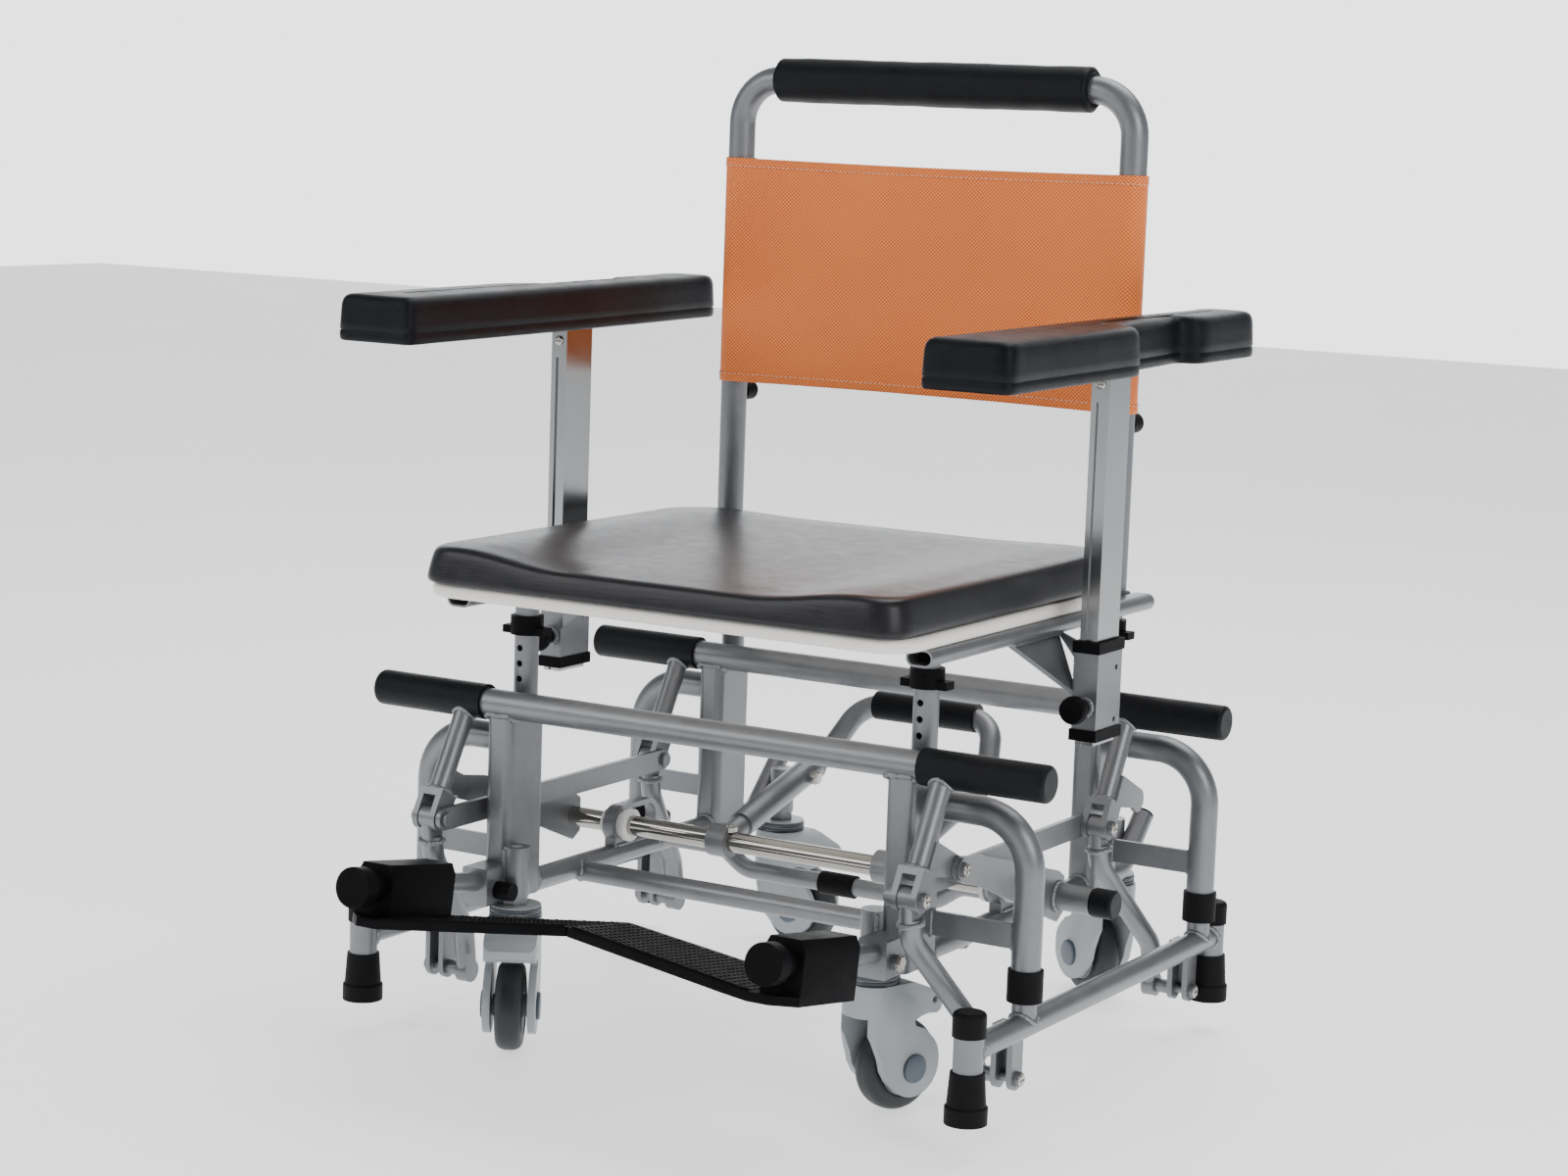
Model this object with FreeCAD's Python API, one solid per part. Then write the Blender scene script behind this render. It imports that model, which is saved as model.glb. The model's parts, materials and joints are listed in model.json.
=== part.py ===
import FreeCAD, Part
import os
from math import radians, sin, cos, tan, sqrt

os.makedirs("parts", exist_ok=True)
Vector = FreeCAD.Vector

# Shared clearances and cuts
overrun = 2.0
running_gap = 0.05
body_gap = 0.35
tube_wall = 2.0
same_place = 0.01
parallel_share = 0.99

# Base frame: rails and posts
rail_dia = 25.4
rail_half = 222.0
rail_z = 304.0
front_rail_y = -145.0
rail_spread = 355.0
spindle_dia = 17.0
spindle_reach = 112.0
post_inset = 17.5
post_x = rail_half - post_inset
post_width = 27.0
post_depth = 56.0
post_lead = 9.0
post_corner = 8.0
post_bottom_z = 127.5
post_plug_drop = 1.3

# Base frame: low tubes
side_tube_dia = 20.0
side_tube_z = 134.5
side_tube_tail = 66.0
tail_height = 45.0
tail_slope = 45.0
tail_bend_radius = 30.0
low_cross_y = 125.0
low_cross_z = 130.0
low_cross_dia = 19.0
dip_tube_y = 258.0
dip_end_z = 140.0
dip_drop = 18.0
dip_tube_dia = 17.0
dip_start_x = 128.0
dip_run = 26.0
dip_bend_radius = 28.0
dip_sleeve_length = 36.0
dip_sleeve_wall = 2.4

# Caster sockets
socket_inset = 20.5
socket_x = post_x - socket_inset
socket_front_y = -4.0
socket_rear_y = 104.0
socket_dia = 24.0
socket_bore = 10.2
socket_top_z = 178.0
socket_bottom_z = 134.0
lock_nut_across = 21.0

# Foot guides: bent legs that come down outside each post
guide_out = 103.5
guide_x = post_x + guide_out
guide_y = 34.0
guide_dia = 25.4
guide_run_z = 266.0
guide_bend_radius = 48.0
guide_bottom_z = 116.0
bushing_dia = 30.5
bushing_height = 27.0
bushing_lip = 5.0
strut_z = 164.0
strut_height = 21.0
strut_thickness = 4.0

# Foot frames, drawn up
foot_lift = 30.0
foot_tube_z = 90.0
foot_tube_dia = 21.5
foot_front_y = -64.0
foot_rear_y = 64.0
foot_post_dia = 25.0
foot_post_bottom_z = 52.0
foot_post_top_z = 118.0
foot_cap_height = 17.0
foot_cap_wall = 1.6
tip_top_dia = 29.0
tip_base_dia = 36.0
tip_height = 43.0
tip_ring_height = 14.0
guide_rod_dia = 21.2
guide_rod_top_z = 206.0
bracket_width = 20.0
bracket_leaf = 5.0
bracket_inset = 14.0
bracket_x = guide_x - bracket_inset
bracket_half = 10.0
pin_dia = 8.0
pin_head_dia = 13.0
pin_head_height = 4.0

# Toggle links
link_out = 21.0
link_x = rail_half + link_out
link_tube_dia = 18.5
knee_forward = 54.5
knee_drop = 99.0
foot_pin_z = 43.0
clevis_half = 12.0
clevis_slot = 13.0
clevis_round = 11.5
clevis_depth = 24.0
eye_width = 12.0
eye_round = 10.5
link_foot_inset = 44.0
link_foot_x = guide_x - link_foot_inset
lower_link_dia = 19.0
ear_thickness = 4.0
ear_back = 5.0
ear_drop = 83.0
ear_round = 11.0
ear_bolt_dia = 7.0
ear_hole_dia = 14.0
washer_dia = 19.0
washer_height = 1.5
bar_thickness = 5.0
bar_head_height = 3.2
bar_height = 20.0

# Grips on the rail ends
grip_dia = 32.0
grip_past_spindle = 6.0
grip_end_x = rail_half + spindle_reach + grip_past_spindle
grip_cap = 4.0

# Cross shaft that draws the links
shaft_y = 190.0
shaft_z = 163.5
shaft_dia = 19.0
shaft_travel = 44.0
shaft_plate_thickness = 4.0
shaft_plate_height = 46.0
shaft_stub_dia = 24.0
shaft_stub_length = 34.0
shaft_knob_dia = 26.0
shaft_knob_length = 22.0
roller_dia = 25.0
roller_length = 24.0
roller_flange_dia = 31.0
roller_flange = 4.0
loop_strap = 5.0
loop_width = 12.0

# Pull lever on the shaft
lever_x = 88.0
lever_tube_dia = 21.0
lever_sleeve_dia = 25.4
lever_eye_dia = 31.0
lever_eye_width = 20.0
lever_slope = 15.5
lever_sleeve_start = 34.0
lever_sleeve_end = 172.0
lever_bend_at = 196.0
lever_grip_y = 419.0
lever_grip_z = 264.0
lever_grip_half = 55.0
lever_grip_dia = 28.0
lever_corner_radius = 32.0

# Casters
wheel_dia = 80.0
tyre_width = 25.0
tyre_round = 5.0
hub_dia = 58.0
axle_dia = 10.0
caster_trail = 30.0
fork_width = 47.0
fork_crown_radius = 25.2
fork_lower_radius = 29.0
fork_lower_lift = 4.0
fork_front_room_z = 88.0
cheek_thickness = 7.0
cheek_gap = 1.6
swivel_top_z = 125.5
swivel_disc_dia = 46.0
swivel_disc_height = 10.0
axle_cap_dia = 24.0
axle_cap_height = 2.6
pedal_corner = 8.0
pedal_hole_dia = 6.0
pedal_hole_y = 51.7
pedal_hole_z = 96.6
stem_dia = 10.0
caster_turn_front_left = 210.7
caster_turn_front_right = -18.0
caster_turn_rear_left = -96.2
caster_turn_rear_right = 55.0
fork_outline_shares = [(-0.2875, 1.45), (-0.3125, 1.1875), (-0.3, 1.025), (-0.1875, 0.8375), (-0.1, 0.65),
                       (-0.0625, 0.5125), (0.0063, 0.4), (0.1375, 0.2813), (0.375, 0.55),
                       (0.6275, 0.7975), (0.525, 0.905), (0.3825, 0.9625), (0.3613, 1.0175),
                       (0.45, 1.0575), (0.55, 1.075), (0.6813, 1.0625), (0.7938, 1.125),
                       (0.8075, 1.2125), (0.7, 1.3), (0.425, 1.4125), (0.2875, 1.45)]

# Seat frame
seat_leg_dia = 22.0
seat_leg_y = 33.0
seat_leg_bottom_z = 190.0
seat_hole_dia = 6.0
seat_hole_pitch = 14.0
seat_hole_top_z = 352.0
seat_hole_count = 8
collar_bottom_z = 364.0
collar_height = 17.0
collar_dia = 30.0
collar_lug = 7.0
seat_rail_out = 27.5
seat_rail_x = post_x + seat_rail_out
seat_rail_width = 25.0
seat_rail_height = 15.0
seat_rail_z = 400.0
seat_rail_front_y = -34.0
seat_rail_behind = 41.0
seat_rail_rear_y = rail_spread + seat_rail_behind
seat_tube_wall = 1.8

# Seat board and cushion
board_inset = 2.5
board_half_width = seat_rail_x + seat_rail_width / 2 - board_inset
board_front_y = -82.0
board_short = 5.0
board_rear_y = rail_spread - board_short
board_thickness = 12.5
board_corner = 34.0
board_rim_depth = 5.0
cushion_inset = 2.0
cushion_half_width = board_half_width - cushion_inset
cushion_front_y = -88.0
cushion_over = 2.0
cushion_rear_y = board_rear_y + cushion_over
cushion_edge_height = 30.0
cushion_crown = 5.0
cushion_side_draw = 7.0
cushion_corner = 26.0
cushion_rear_corner = 55.0
cushion_flank = 55.0
cushion_dip = 9.0

# Armrests
arm_out = 48.5
arm_x = seat_rail_x + arm_out
arm_post_width = 17.0
arm_post_depth = 42.0
arm_post_front_y = 183.0
arm_post_bottom_z = 302.0
arm_wall = 2.0
arm_groove_depth = 2.0
arm_groove_top_z = 600.0
arm_socket_wall = 3.0
arm_socket_bottom_z = 316.0
arm_socket_top_z = 383.0
arm_ring_height = 10.0
arm_ring_wall = 3.0
gusset_thickness = 4.0
gusset_lead = 58.0
gusset_rise = 30.0
gauge_hole_y = 217.0
gauge_hole_dia = 5.0
pad_bottom_z = 628.0
pad_rise = 0.6
pad_height = 38.0
pad_inner_reach = 27.8
pad_inner_x = arm_x - pad_inner_reach
pad_outer_reach = 52.5
pad_outer_x = arm_x + pad_outer_reach
pad_front_y = -84.0
pad_rear_y = 430.0
pad_rear_inner_reach = 19.5
pad_rear_inner_x = arm_x - pad_rear_inner_reach
pad_rear_outer_reach = 39.5
pad_rear_outer_x = arm_x + pad_rear_outer_reach
pad_waist_reach = 13.5
pad_waist_x = arm_x + pad_waist_reach
pad_step_y = 198.0
pad_waist_end_y = 296.0
pad_corner = 9.0
pad_edge = 6.0
lock_knob_z = 336.0
knob_ball_dia = 25.0
knob_cap_length = 14.0
knob_stem_dia = 13.0
knob_stem_length = 9.0
knob_boss_dia = 15.0
boss_length = 3.0
knob_plunger_dia = 6.0

# Backrest
back_inset = 23.5
back_x = seat_rail_x - back_inset
back_behind = 26.0
back_y = rail_spread + back_behind
back_tube_dia = 25.4
back_top_z = 865.0
back_bend_radius = 42.0
back_grip_gap = 0.5
back_grip_half = back_x - back_bend_radius - back_grip_gap
back_grip_dia = 42.0
mesh_top_drop = 75.5
mesh_height = 216.0
mesh_top_z = back_top_z - mesh_top_drop
mesh_bottom_z = mesh_top_z - mesh_height
mesh_thickness = 2.2
back_knob_dia = 19.0
back_knob_length = 17.0
back_knob_drop = 11.0
back_knob_z = mesh_bottom_z - back_knob_drop

# Footrest
footrest_inset = 1.5
footrest_x = post_x - footrest_inset
footrest_tube_dia = 17.5
footrest_tube_z = 145.0
footrest_tube_rear_y = -12.0
footrest_slope = 8.8
clamp_block_depth = 32.0
clamp_block_width = 27.0
clamp_block_height = 34.0
clamp_knob_dia = 16.0
clamp_knob_length = 17.0
housing_front = 176.0
housing_rear = 86.0
housing_width = 38.0
housing_low = -33.0
housing_top = 20.0
housing_round = 9.0
knob_forward = 193.0
foot_knob_dia = 35.0
foot_knob_length = 14.0
foot_knob_neck_dia = 27.0
plate_thickness = 8.0
plate_mid_lift = -3.0
plate_front = 195.0
plate_rear = 86.0
plate_taper = 13.0
plate_corner = 20.0
plate_mid_gap = 1.5

# Left and right as shares of a distance from the middle
side_shares = {"l": -1, "r": 1}
ends = {"f": 0.0, "r": rail_spread}


def point(x, y, z):
    """A place given with y counted from the front rail."""
    return Vector(x, front_rail_y + y, z)


def rod(start, end, dia):
    """A round bar from one point to another."""
    line = end - start
    return Part.makeCylinder(dia / 2, line.Length, start, line)


def tube(start, end, dia, wall):
    """A round tube from one point to another."""
    line = end - start
    reach = line.normalize() * overrun
    inner = rod(start - reach, end + reach, dia - 2 * wall)
    return rod(start, end, dia).cut(inner)


def ring(start, end, dia, bore):
    """A collar with a bore of its own."""
    return tube(start, end, dia, (dia - bore) / 2)


def block(low, high):
    """A box between two corners."""
    size = high - low
    return Part.makeBox(size.x, size.y, size.z, low)


def rounded_block(low, high, radius, axis):
    """A box whose edges along one axis are rounded."""
    shape = block(low, high)
    picked = []
    for edge in shape.Edges:
        run = edge.Vertexes[1].Point - edge.Vertexes[0].Point
        if abs(run.normalize().dot(axis)) > parallel_share:
            picked.append(edge)
    return shape.makeFillet(radius, picked)


def path_wire(points, radii):
    """Straight runs joined by tangent arcs."""
    edges = []
    last = points[0]
    for index, radius in enumerate(radii):
        before = points[index]
        corner = points[index + 1]
        after = points[index + 2]
        arrive = (corner - before).normalize()
        leave = (after - corner).normalize()
        turn = arrive.getAngle(leave)
        cut_back = radius * tan(turn / 2)
        start = corner - arrive * cut_back
        finish = corner + leave * cut_back
        inward = (leave - arrive).normalize()
        depth = radius / cos(turn / 2)
        middle = corner + inward * (depth - radius)
        edges.append(Part.LineSegment(last, start).toShape())
        edges.append(Part.Arc(start, middle, finish).toShape())
        last = finish
    edges.append(Part.LineSegment(last, points[-1]).toShape())
    return Part.Wire(edges)


def bent_rod(points, radii, dia):
    """A round section carried along a bent path."""
    wire = path_wire(points, radii)
    run = points[1] - points[0]
    circle = Part.Wire(Part.Circle(points[0], run, dia / 2).toShape())
    return wire.makePipeShell([circle], True, False)


def bent_tube(points, radii, dia, wall):
    """A bent tube with open ends."""
    return bent_rod(points, radii, dia).cut(bent_rod(points, radii, dia - 2 * wall))


def one_solid(shape):
    """The largest solid of a cut or fused shape, with its seams merged."""
    clean = shape.removeSplitter()
    return max(clean.Solids, key=lambda solid: solid.Volume)


def group(shapes):
    """Like pieces kept as separate solids in one node."""
    return Part.makeCompound([one_solid(shape) for shape in shapes])


def both_sides(make):
    """One piece for each side, left then right."""
    return [make(side) for side in side_shares.values()]


def four_corners(make):
    """One piece for each corner of the frame."""
    return [make(side, end) for side in side_shares.values() for end in ends.values()]


def profile(points):
    """A closed flat face through points."""
    return Part.Face(Part.makePolygon(points + [points[0]]))


# Rails and posts


def rail(end):
    """A cross rail with a turned spindle let into each end."""
    left = point(-rail_half, end, rail_z)
    right = point(rail_half, end, rail_z)
    shape = rod(left, right, rail_dia)
    spindle_end = rail_half + spindle_reach
    shape = shape.fuse(rod(point(-spindle_end, end, rail_z), point(spindle_end, end, rail_z), spindle_dia))
    hollow = rail_half - spindle_reach
    bore = rail_dia - 2 * tube_wall
    return shape.cut(rod(point(-hollow, end, rail_z), point(hollow, end, rail_z), bore))


def rail_solid(end):
    """The outer form of a cross rail, for fitting what meets it."""
    return rod(point(-rail_half, end, rail_z), point(rail_half, end, rail_z), rail_dia)


def post_form(side, end, inset):
    """A post's rounded outline, drawn in by the wall for its hollow."""
    half = post_width / 2 - inset
    front = end - post_lead + inset
    back = end - post_lead + post_depth - inset
    low_z = post_bottom_z - (overrun if inset else 0)
    low = point(side * post_x - half, front, low_z)
    high = point(side * post_x + half, back, rail_z + (overrun if inset else 0))
    return rounded_block(low, high, post_corner - inset, Vector(0, 0, 1))


def post(side, end):
    """A flattened tube that holds the rail, a seat leg and a foot guide."""
    shape = post_form(side, end, 0).cut(post_form(side, end, tube_wall))
    sleeve_low = point(side * post_x, end + seat_leg_y, rail_z - post_width)
    sleeve_high = point(side * post_x, end + seat_leg_y, rail_z)
    sleeve_ring = ring(sleeve_low, sleeve_high, post_width - tube_wall, seat_leg_dia + 2 * running_gap)
    shape = shape.fuse(sleeve_ring.common(post_form(side, end, 0)))
    return shape.cut(rail_solid(end))


def make_posts():
    return group(four_corners(post) + four_corners(leg_strut))


def post_plug(side, end):
    """The plastic plug under a post."""
    inset = tube_wall + running_gap
    half = post_width / 2 - inset
    front = end - post_lead + inset
    rear = end - post_lead + post_depth - inset
    low = point(side * post_x - half, front, post_bottom_z - post_plug_drop)
    high = point(side * post_x + half, rear, post_bottom_z + post_corner)
    shape = rounded_block(low, high, post_corner - inset, Vector(0, 0, 1))
    return shape if end else shape.cut(caster_socket_room(side))


# Low tubes


def tail_length():
    """Length of a side tube's raised tail along its slope."""
    return tail_height / sin(radians(tail_slope))


def side_tube_points(side):
    """The line of a side tube: level, then raised behind the rear post."""
    front = post_depth - post_lead
    bend = rail_spread + side_tube_tail + post_depth - post_lead - tail_bend_radius
    step = tail_length() * cos(radians(tail_slope))
    return [point(side * post_x, front, side_tube_z),
            point(side * post_x, bend, side_tube_z),
            point(side * post_x, bend + step, side_tube_z + tail_height)]


def side_tube(side):
    """The low tube from the front post past the rear post, with its tail."""
    outer = bent_tube(side_tube_points(side), [tail_bend_radius], side_tube_dia, tube_wall)
    low = point(side * post_x - post_width, rail_spread - post_lead, 0)
    high = point(side * post_x + post_width, rail_spread - post_lead + post_depth, rail_z)
    return outer.cut(block(low, high))


def side_tube_parts(side):
    """The front and rear runs of a side tube, either side of the rear post."""
    return side_tube(side).removeSplitter().Solids


def make_side_tubes():
    solids = both_sides(guide_loop)
    for side in side_shares.values():
        solids.extend(side_tube_parts(side))
    return group(solids)


def side_tube_line(side):
    """The plain cylinder of a side tube's level run."""
    return rod(point(side * post_x, 0, side_tube_z), point(side * post_x, rail_spread, side_tube_z),
               side_tube_dia)


def tail_plug(side):
    """The plug in the raised end of a side tube."""
    bend, top = side_tube_points(side)[1:]
    run = (top - bend).normalize()
    stem = rod(top - run * side_tube_dia, top, side_tube_dia - 2 * tube_wall)
    return stem.fuse(rod(top, top + run * tube_wall, side_tube_dia))


def make_tube_plugs():
    return group(four_corners(post_plug) + both_sides(tail_plug))


def low_cross_tube():
    """The level tube that ties the side tubes in front."""
    shape = tube(point(-post_x, low_cross_y, low_cross_z), point(post_x, low_cross_y, low_cross_z),
                 low_cross_dia, tube_wall)
    for side in side_shares.values():
        shape = shape.cut(side_tube_line(side))
    return one_solid(shape)


def dip_tube():
    """The tube that dips between the side tubes."""
    low_z = dip_end_z - dip_drop
    inner_x = dip_start_x - dip_run
    places = [point(-post_x, dip_tube_y, dip_end_z), point(-dip_start_x, dip_tube_y, dip_end_z),
              point(-inner_x, dip_tube_y, low_z), point(inner_x, dip_tube_y, low_z),
              point(dip_start_x, dip_tube_y, dip_end_z), point(post_x, dip_tube_y, dip_end_z)]
    shape = bent_tube(places, [dip_bend_radius] * 4, dip_tube_dia, tube_wall)
    for side in side_shares.values():
        shape = shape.cut(side_tube_line(side))
    return shape


def dip_sleeve():
    """The rubber sleeve round the middle of the dipped tube."""
    low_z = dip_end_z - dip_drop
    half = dip_sleeve_length / 2
    return ring(point(-half, dip_tube_y, low_z), point(half, dip_tube_y, low_z),
                dip_tube_dia + 2 * dip_sleeve_wall, dip_tube_dia)


# Caster sockets


def socket_y(end):
    """The front sockets stand by their posts, the rear ones behind theirs."""
    return socket_rear_y + end if end else socket_front_y


def caster_socket(side, end):
    """A bored socket with its lock nut, which takes a caster's stem."""
    y = socket_y(end)
    foot = point(side * socket_x, y, socket_bottom_z)
    top = point(side * socket_x, y, socket_top_z)
    shape = ring(foot, top, socket_dia, socket_bore)
    nut_low = point(side * socket_x, y, swivel_top_z + body_gap)
    nut = hexagon(nut_low, foot.z - nut_low.z, lock_nut_across)
    nut = nut.cut(rod(nut_low - Vector(0, 0, overrun), foot + Vector(0, 0, overrun), socket_bore))
    shape = shape.fuse(nut)
    return shape.cut(bent_rod(side_tube_points(side), [tail_bend_radius], side_tube_dia) if end
                     else post_form(side, end, 0))


def hexagon(low, height, across):
    """A hexagonal prism standing on a point."""
    corner = across / 2 / cos(radians(30))
    points = [low + Vector(corner * cos(radians(60 * step)), corner * sin(radians(60 * step)), 0)
              for step in range(6)]
    return profile(points).extrude(Vector(0, 0, height))


def make_caster_sockets():
    return group(four_corners(caster_socket))


# Foot guides


def guide_leg(side, end):
    """A bent tube from the post's outer face, out and down to a foot guide."""
    y = end + guide_y
    places = [point(side * post_x, y, guide_run_z), point(side * guide_x, y, guide_run_z),
              point(side * guide_x, y, guide_bottom_z)]
    shape = bent_tube(places, [guide_bend_radius], guide_dia, tube_wall)
    return shape.cut(post_form(side, end, 0))


def make_guide_legs():
    return group(four_corners(guide_leg))


def guide_bushing(side, end):
    """The black bushing on a guide leg's open end."""
    y = end + guide_y
    low = point(side * guide_x, y, guide_bottom_z - bushing_lip)
    high = point(side * guide_x, y, guide_bottom_z - bushing_lip + bushing_height)
    shape = rod(low, high, bushing_dia)
    shape = shape.cut(rod(point(side * guide_x, y, guide_bottom_z), high + Vector(0, 0, overrun), guide_dia))
    return shape.cut(rod(low - Vector(0, 0, overrun), high, guide_rod_dia + 2 * running_gap))


def make_low_cross_tubes():
    return group([low_cross_tube(), dip_tube()])


def make_guide_bushings():
    return group(four_corners(guide_bushing) + [dip_sleeve()])


def leg_strut(side, end):
    """The flat bar that braces a guide leg to its post."""
    y = end + guide_y
    outer = side * guide_x
    inner = side * (post_x + post_width / 2)
    low = point(min(inner, outer), y - strut_thickness / 2, strut_z - strut_height / 2)
    high = point(max(inner, outer), y + strut_thickness / 2, strut_z + strut_height / 2)
    leg = rod(point(side * guide_x, y, guide_bottom_z), point(side * guide_x, y, guide_run_z), guide_dia)
    return block(low, high).cut(leg)


# Foot frames


def foot_post_places(side):
    """The front and rear foot places of one side."""
    return [(side * guide_x, foot_front_y), (side * guide_x, rail_spread + foot_rear_y)]


def foot_frame(side):
    """One side's foot tube with its posts, guide rods and pin brackets."""
    x = side * guide_x
    front, rear = foot_front_y, rail_spread + foot_rear_y
    shape = rod(point(x, front, foot_tube_z), point(x, rear, foot_tube_z), foot_tube_dia)
    for place_x, place_y in foot_post_places(side):
        shape = shape.fuse(rod(point(place_x, place_y, foot_post_bottom_z),
                               point(place_x, place_y, foot_post_top_z), foot_post_dia))
    for end in ends.values():
        y = end + guide_y
        shape = shape.fuse(rod(point(x, y, foot_tube_z), point(x, y, guide_rod_top_z), guide_rod_dia))
        for piece in foot_bracket(side, y):
            shape = shape.fuse(piece)
    return one_solid(shape)


def foot_bracket(side, y):
    """The channel bracket under the foot tube and its pin with a spacer."""
    inner = side * (bracket_x - bracket_half)
    outer = side * (bracket_x + bracket_half)
    top = foot_tube_z
    low = foot_pin_z - bracket_half
    leaves = []
    for leaf_side, place in ((side, inner), (-side, outer)):
        far = place + leaf_side * bracket_leaf
        leaves.append(rounded_leaf(min(place, far), max(place, far), y, low, top))
    web = block(point(min(inner, outer), y + bracket_width / 2 - bracket_leaf, low + bracket_half),
                point(max(inner, outer), y + bracket_width / 2, top))
    head = side * (bracket_x + bracket_half)
    pin = rod(point(side * pin_inner_x(), y, foot_pin_z), point(head, y, foot_pin_z), pin_dia)
    cap = rod(point(head, y, foot_pin_z), point(head + side * pin_head_height, y, foot_pin_z), pin_head_dia)
    spacer = rod(point(side * pin_inner_x(), y, foot_pin_z), point(inner, y, foot_pin_z), pin_head_dia)
    return leaves + [web, pin, cap, spacer]


def pin_inner_x():
    """Where a foot pin's spacer ends, just clear of the link's eye."""
    return link_foot_x + eye_width / 2 + body_gap


def rounded_leaf(low_x, high_x, y, low, top):
    """A bracket leaf with a rounded lower end."""
    leaf = block(point(low_x, y - bracket_width / 2, low + bracket_width / 2),
                 point(high_x, y + bracket_width / 2, top))
    round_end = rod(point(low_x, y, low + bracket_width / 2), point(high_x, y, low + bracket_width / 2),
                    bracket_width)
    return leaf.fuse(round_end)


def foot_tip(x, y):
    """A flared rubber tip with a base ring."""
    low = foot_lift
    profile_points = [Vector(0, 0, low), Vector(tip_base_dia / 2, 0, low),
                      Vector(tip_base_dia / 2, 0, low + tip_ring_height),
                      Vector(tip_base_dia / 2 - foot_cap_wall, 0, low + tip_ring_height + foot_cap_wall),
                      Vector(tip_top_dia / 2, 0, low + tip_height),
                      Vector(foot_post_dia / 2, 0, low + tip_height),
                      Vector(foot_post_dia / 2, 0, foot_post_bottom_z),
                      Vector(0, 0, foot_post_bottom_z)]
    shape = profile(profile_points).revolve(Vector(0, 0, 0), Vector(0, 0, 1), 360)
    return shape.translate(point(x, y, 0))


def foot_cap(x, y):
    """The black cap on top of a foot post."""
    low = point(x, y, foot_post_top_z - foot_cap_height + foot_cap_wall)
    high = point(x, y, foot_post_top_z + foot_cap_wall + pin_head_height)
    outer = rod(low, high, foot_post_dia + 2 * foot_cap_wall)
    outer = outer.makeFillet(pin_head_height, [edge for edge in outer.Edges
                                               if edge.BoundBox.ZMin > high.z - overrun])
    return outer.cut(rod(low - Vector(0, 0, overrun), point(x, y, foot_post_top_z), foot_post_dia))


def foot_rubbers(side):
    """The tips and caps of one foot frame."""
    pieces = []
    for x, y in foot_post_places(side):
        pieces.append(foot_tip(x, y))
        pieces.append(foot_cap(x, y))
    return group(pieces)


# Toggle links


def knee(end):
    """The knee pin's y and z at one rail."""
    return end - knee_forward, rail_z - knee_drop


def upper_link(side, end):
    """The sloped link on its rail sleeve, with its clevis and ear."""
    knee_y, knee_z = knee(end)
    x = side * link_x
    top = point(x, end, rail_z)
    bottom = point(x, knee_y, knee_z)
    slope = (bottom - top).normalize()
    sleeve_start = side * (rail_half + body_gap)
    sleeve_end = side * (rail_half + spindle_reach)
    sleeve_bore = spindle_dia + 2 * running_gap
    sleeve = rod(point(sleeve_start, end, rail_z), point(sleeve_end, end, rail_z), rail_dia)
    clevis_top = bottom - slope * clevis_depth
    shape = sleeve.fuse(rod(top, clevis_top, link_tube_dia))
    shape = shape.fuse(clevis(x, bottom, slope))
    shape = shape.fuse(ear(side, end))
    shape = shape.cut(rod(point(sleeve_start - side * overrun, end, rail_z),
                          point(sleeve_end + side * overrun, end, rail_z), sleeve_bore))
    return one_solid(shape.cut(eye_space(x, bottom)))


def turned_block(centre, along, across_half, low, high, half_x):
    """A box set square to a sloping line in the upright plane."""
    normal = Vector(0, -along.z, along.y)
    corners = [centre + along * low - normal * across_half, centre + along * high - normal * across_half,
               centre + along * high + normal * across_half, centre + along * low + normal * across_half]
    face = profile([corner - Vector(half_x, 0, 0) for corner in corners])
    return face.extrude(Vector(2 * half_x, 0, 0))


def clevis(x, centre, slope):
    """The forked end that holds the knee pin."""
    body = turned_block(centre, slope, clevis_round, -clevis_depth, 0, clevis_half)
    nose = rod(centre - Vector(clevis_half, 0, 0), centre + Vector(clevis_half, 0, 0), 2 * clevis_round)
    shape = body.fuse(nose)
    slot_top = clevis_depth - clevis_slot / 2
    shape = shape.cut(turned_block(centre, slope, clevis_round + overrun, -slot_top, clevis_round + overrun,
                                   clevis_slot / 2))
    outward = Vector(1 if x > 0 else -1, 0, 0)
    inner_end = clevis_half + 2 * body_gap + bar_thickness
    outer_end = clevis_half + pin_head_height
    pin = rod(centre - outward * inner_end, centre + outward * outer_end, pin_dia)
    heads = rod(centre - outward * (inner_end + bar_head_height), centre - outward * inner_end, pin_head_dia)
    heads = heads.fuse(rod(centre + outward * clevis_half, centre + outward * outer_end, pin_head_dia))
    return shape.fuse(pin).fuse(heads)


def eye_space(x, centre):
    """Nothing else of the link may stand where the eye turns."""
    width = clevis_slot / 2
    space = rod(centre - Vector(width, 0, 0), centre + Vector(width, 0, 0), 2 * (eye_round + body_gap))
    return space.cut(rod(centre - Vector(width, 0, 0), centre + Vector(width, 0, 0), pin_dia))


def ear_x(side):
    """The inner face of an upper link's ear, clear of the link bar."""
    return side * (link_x + clevis_half - ear_thickness)


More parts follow.
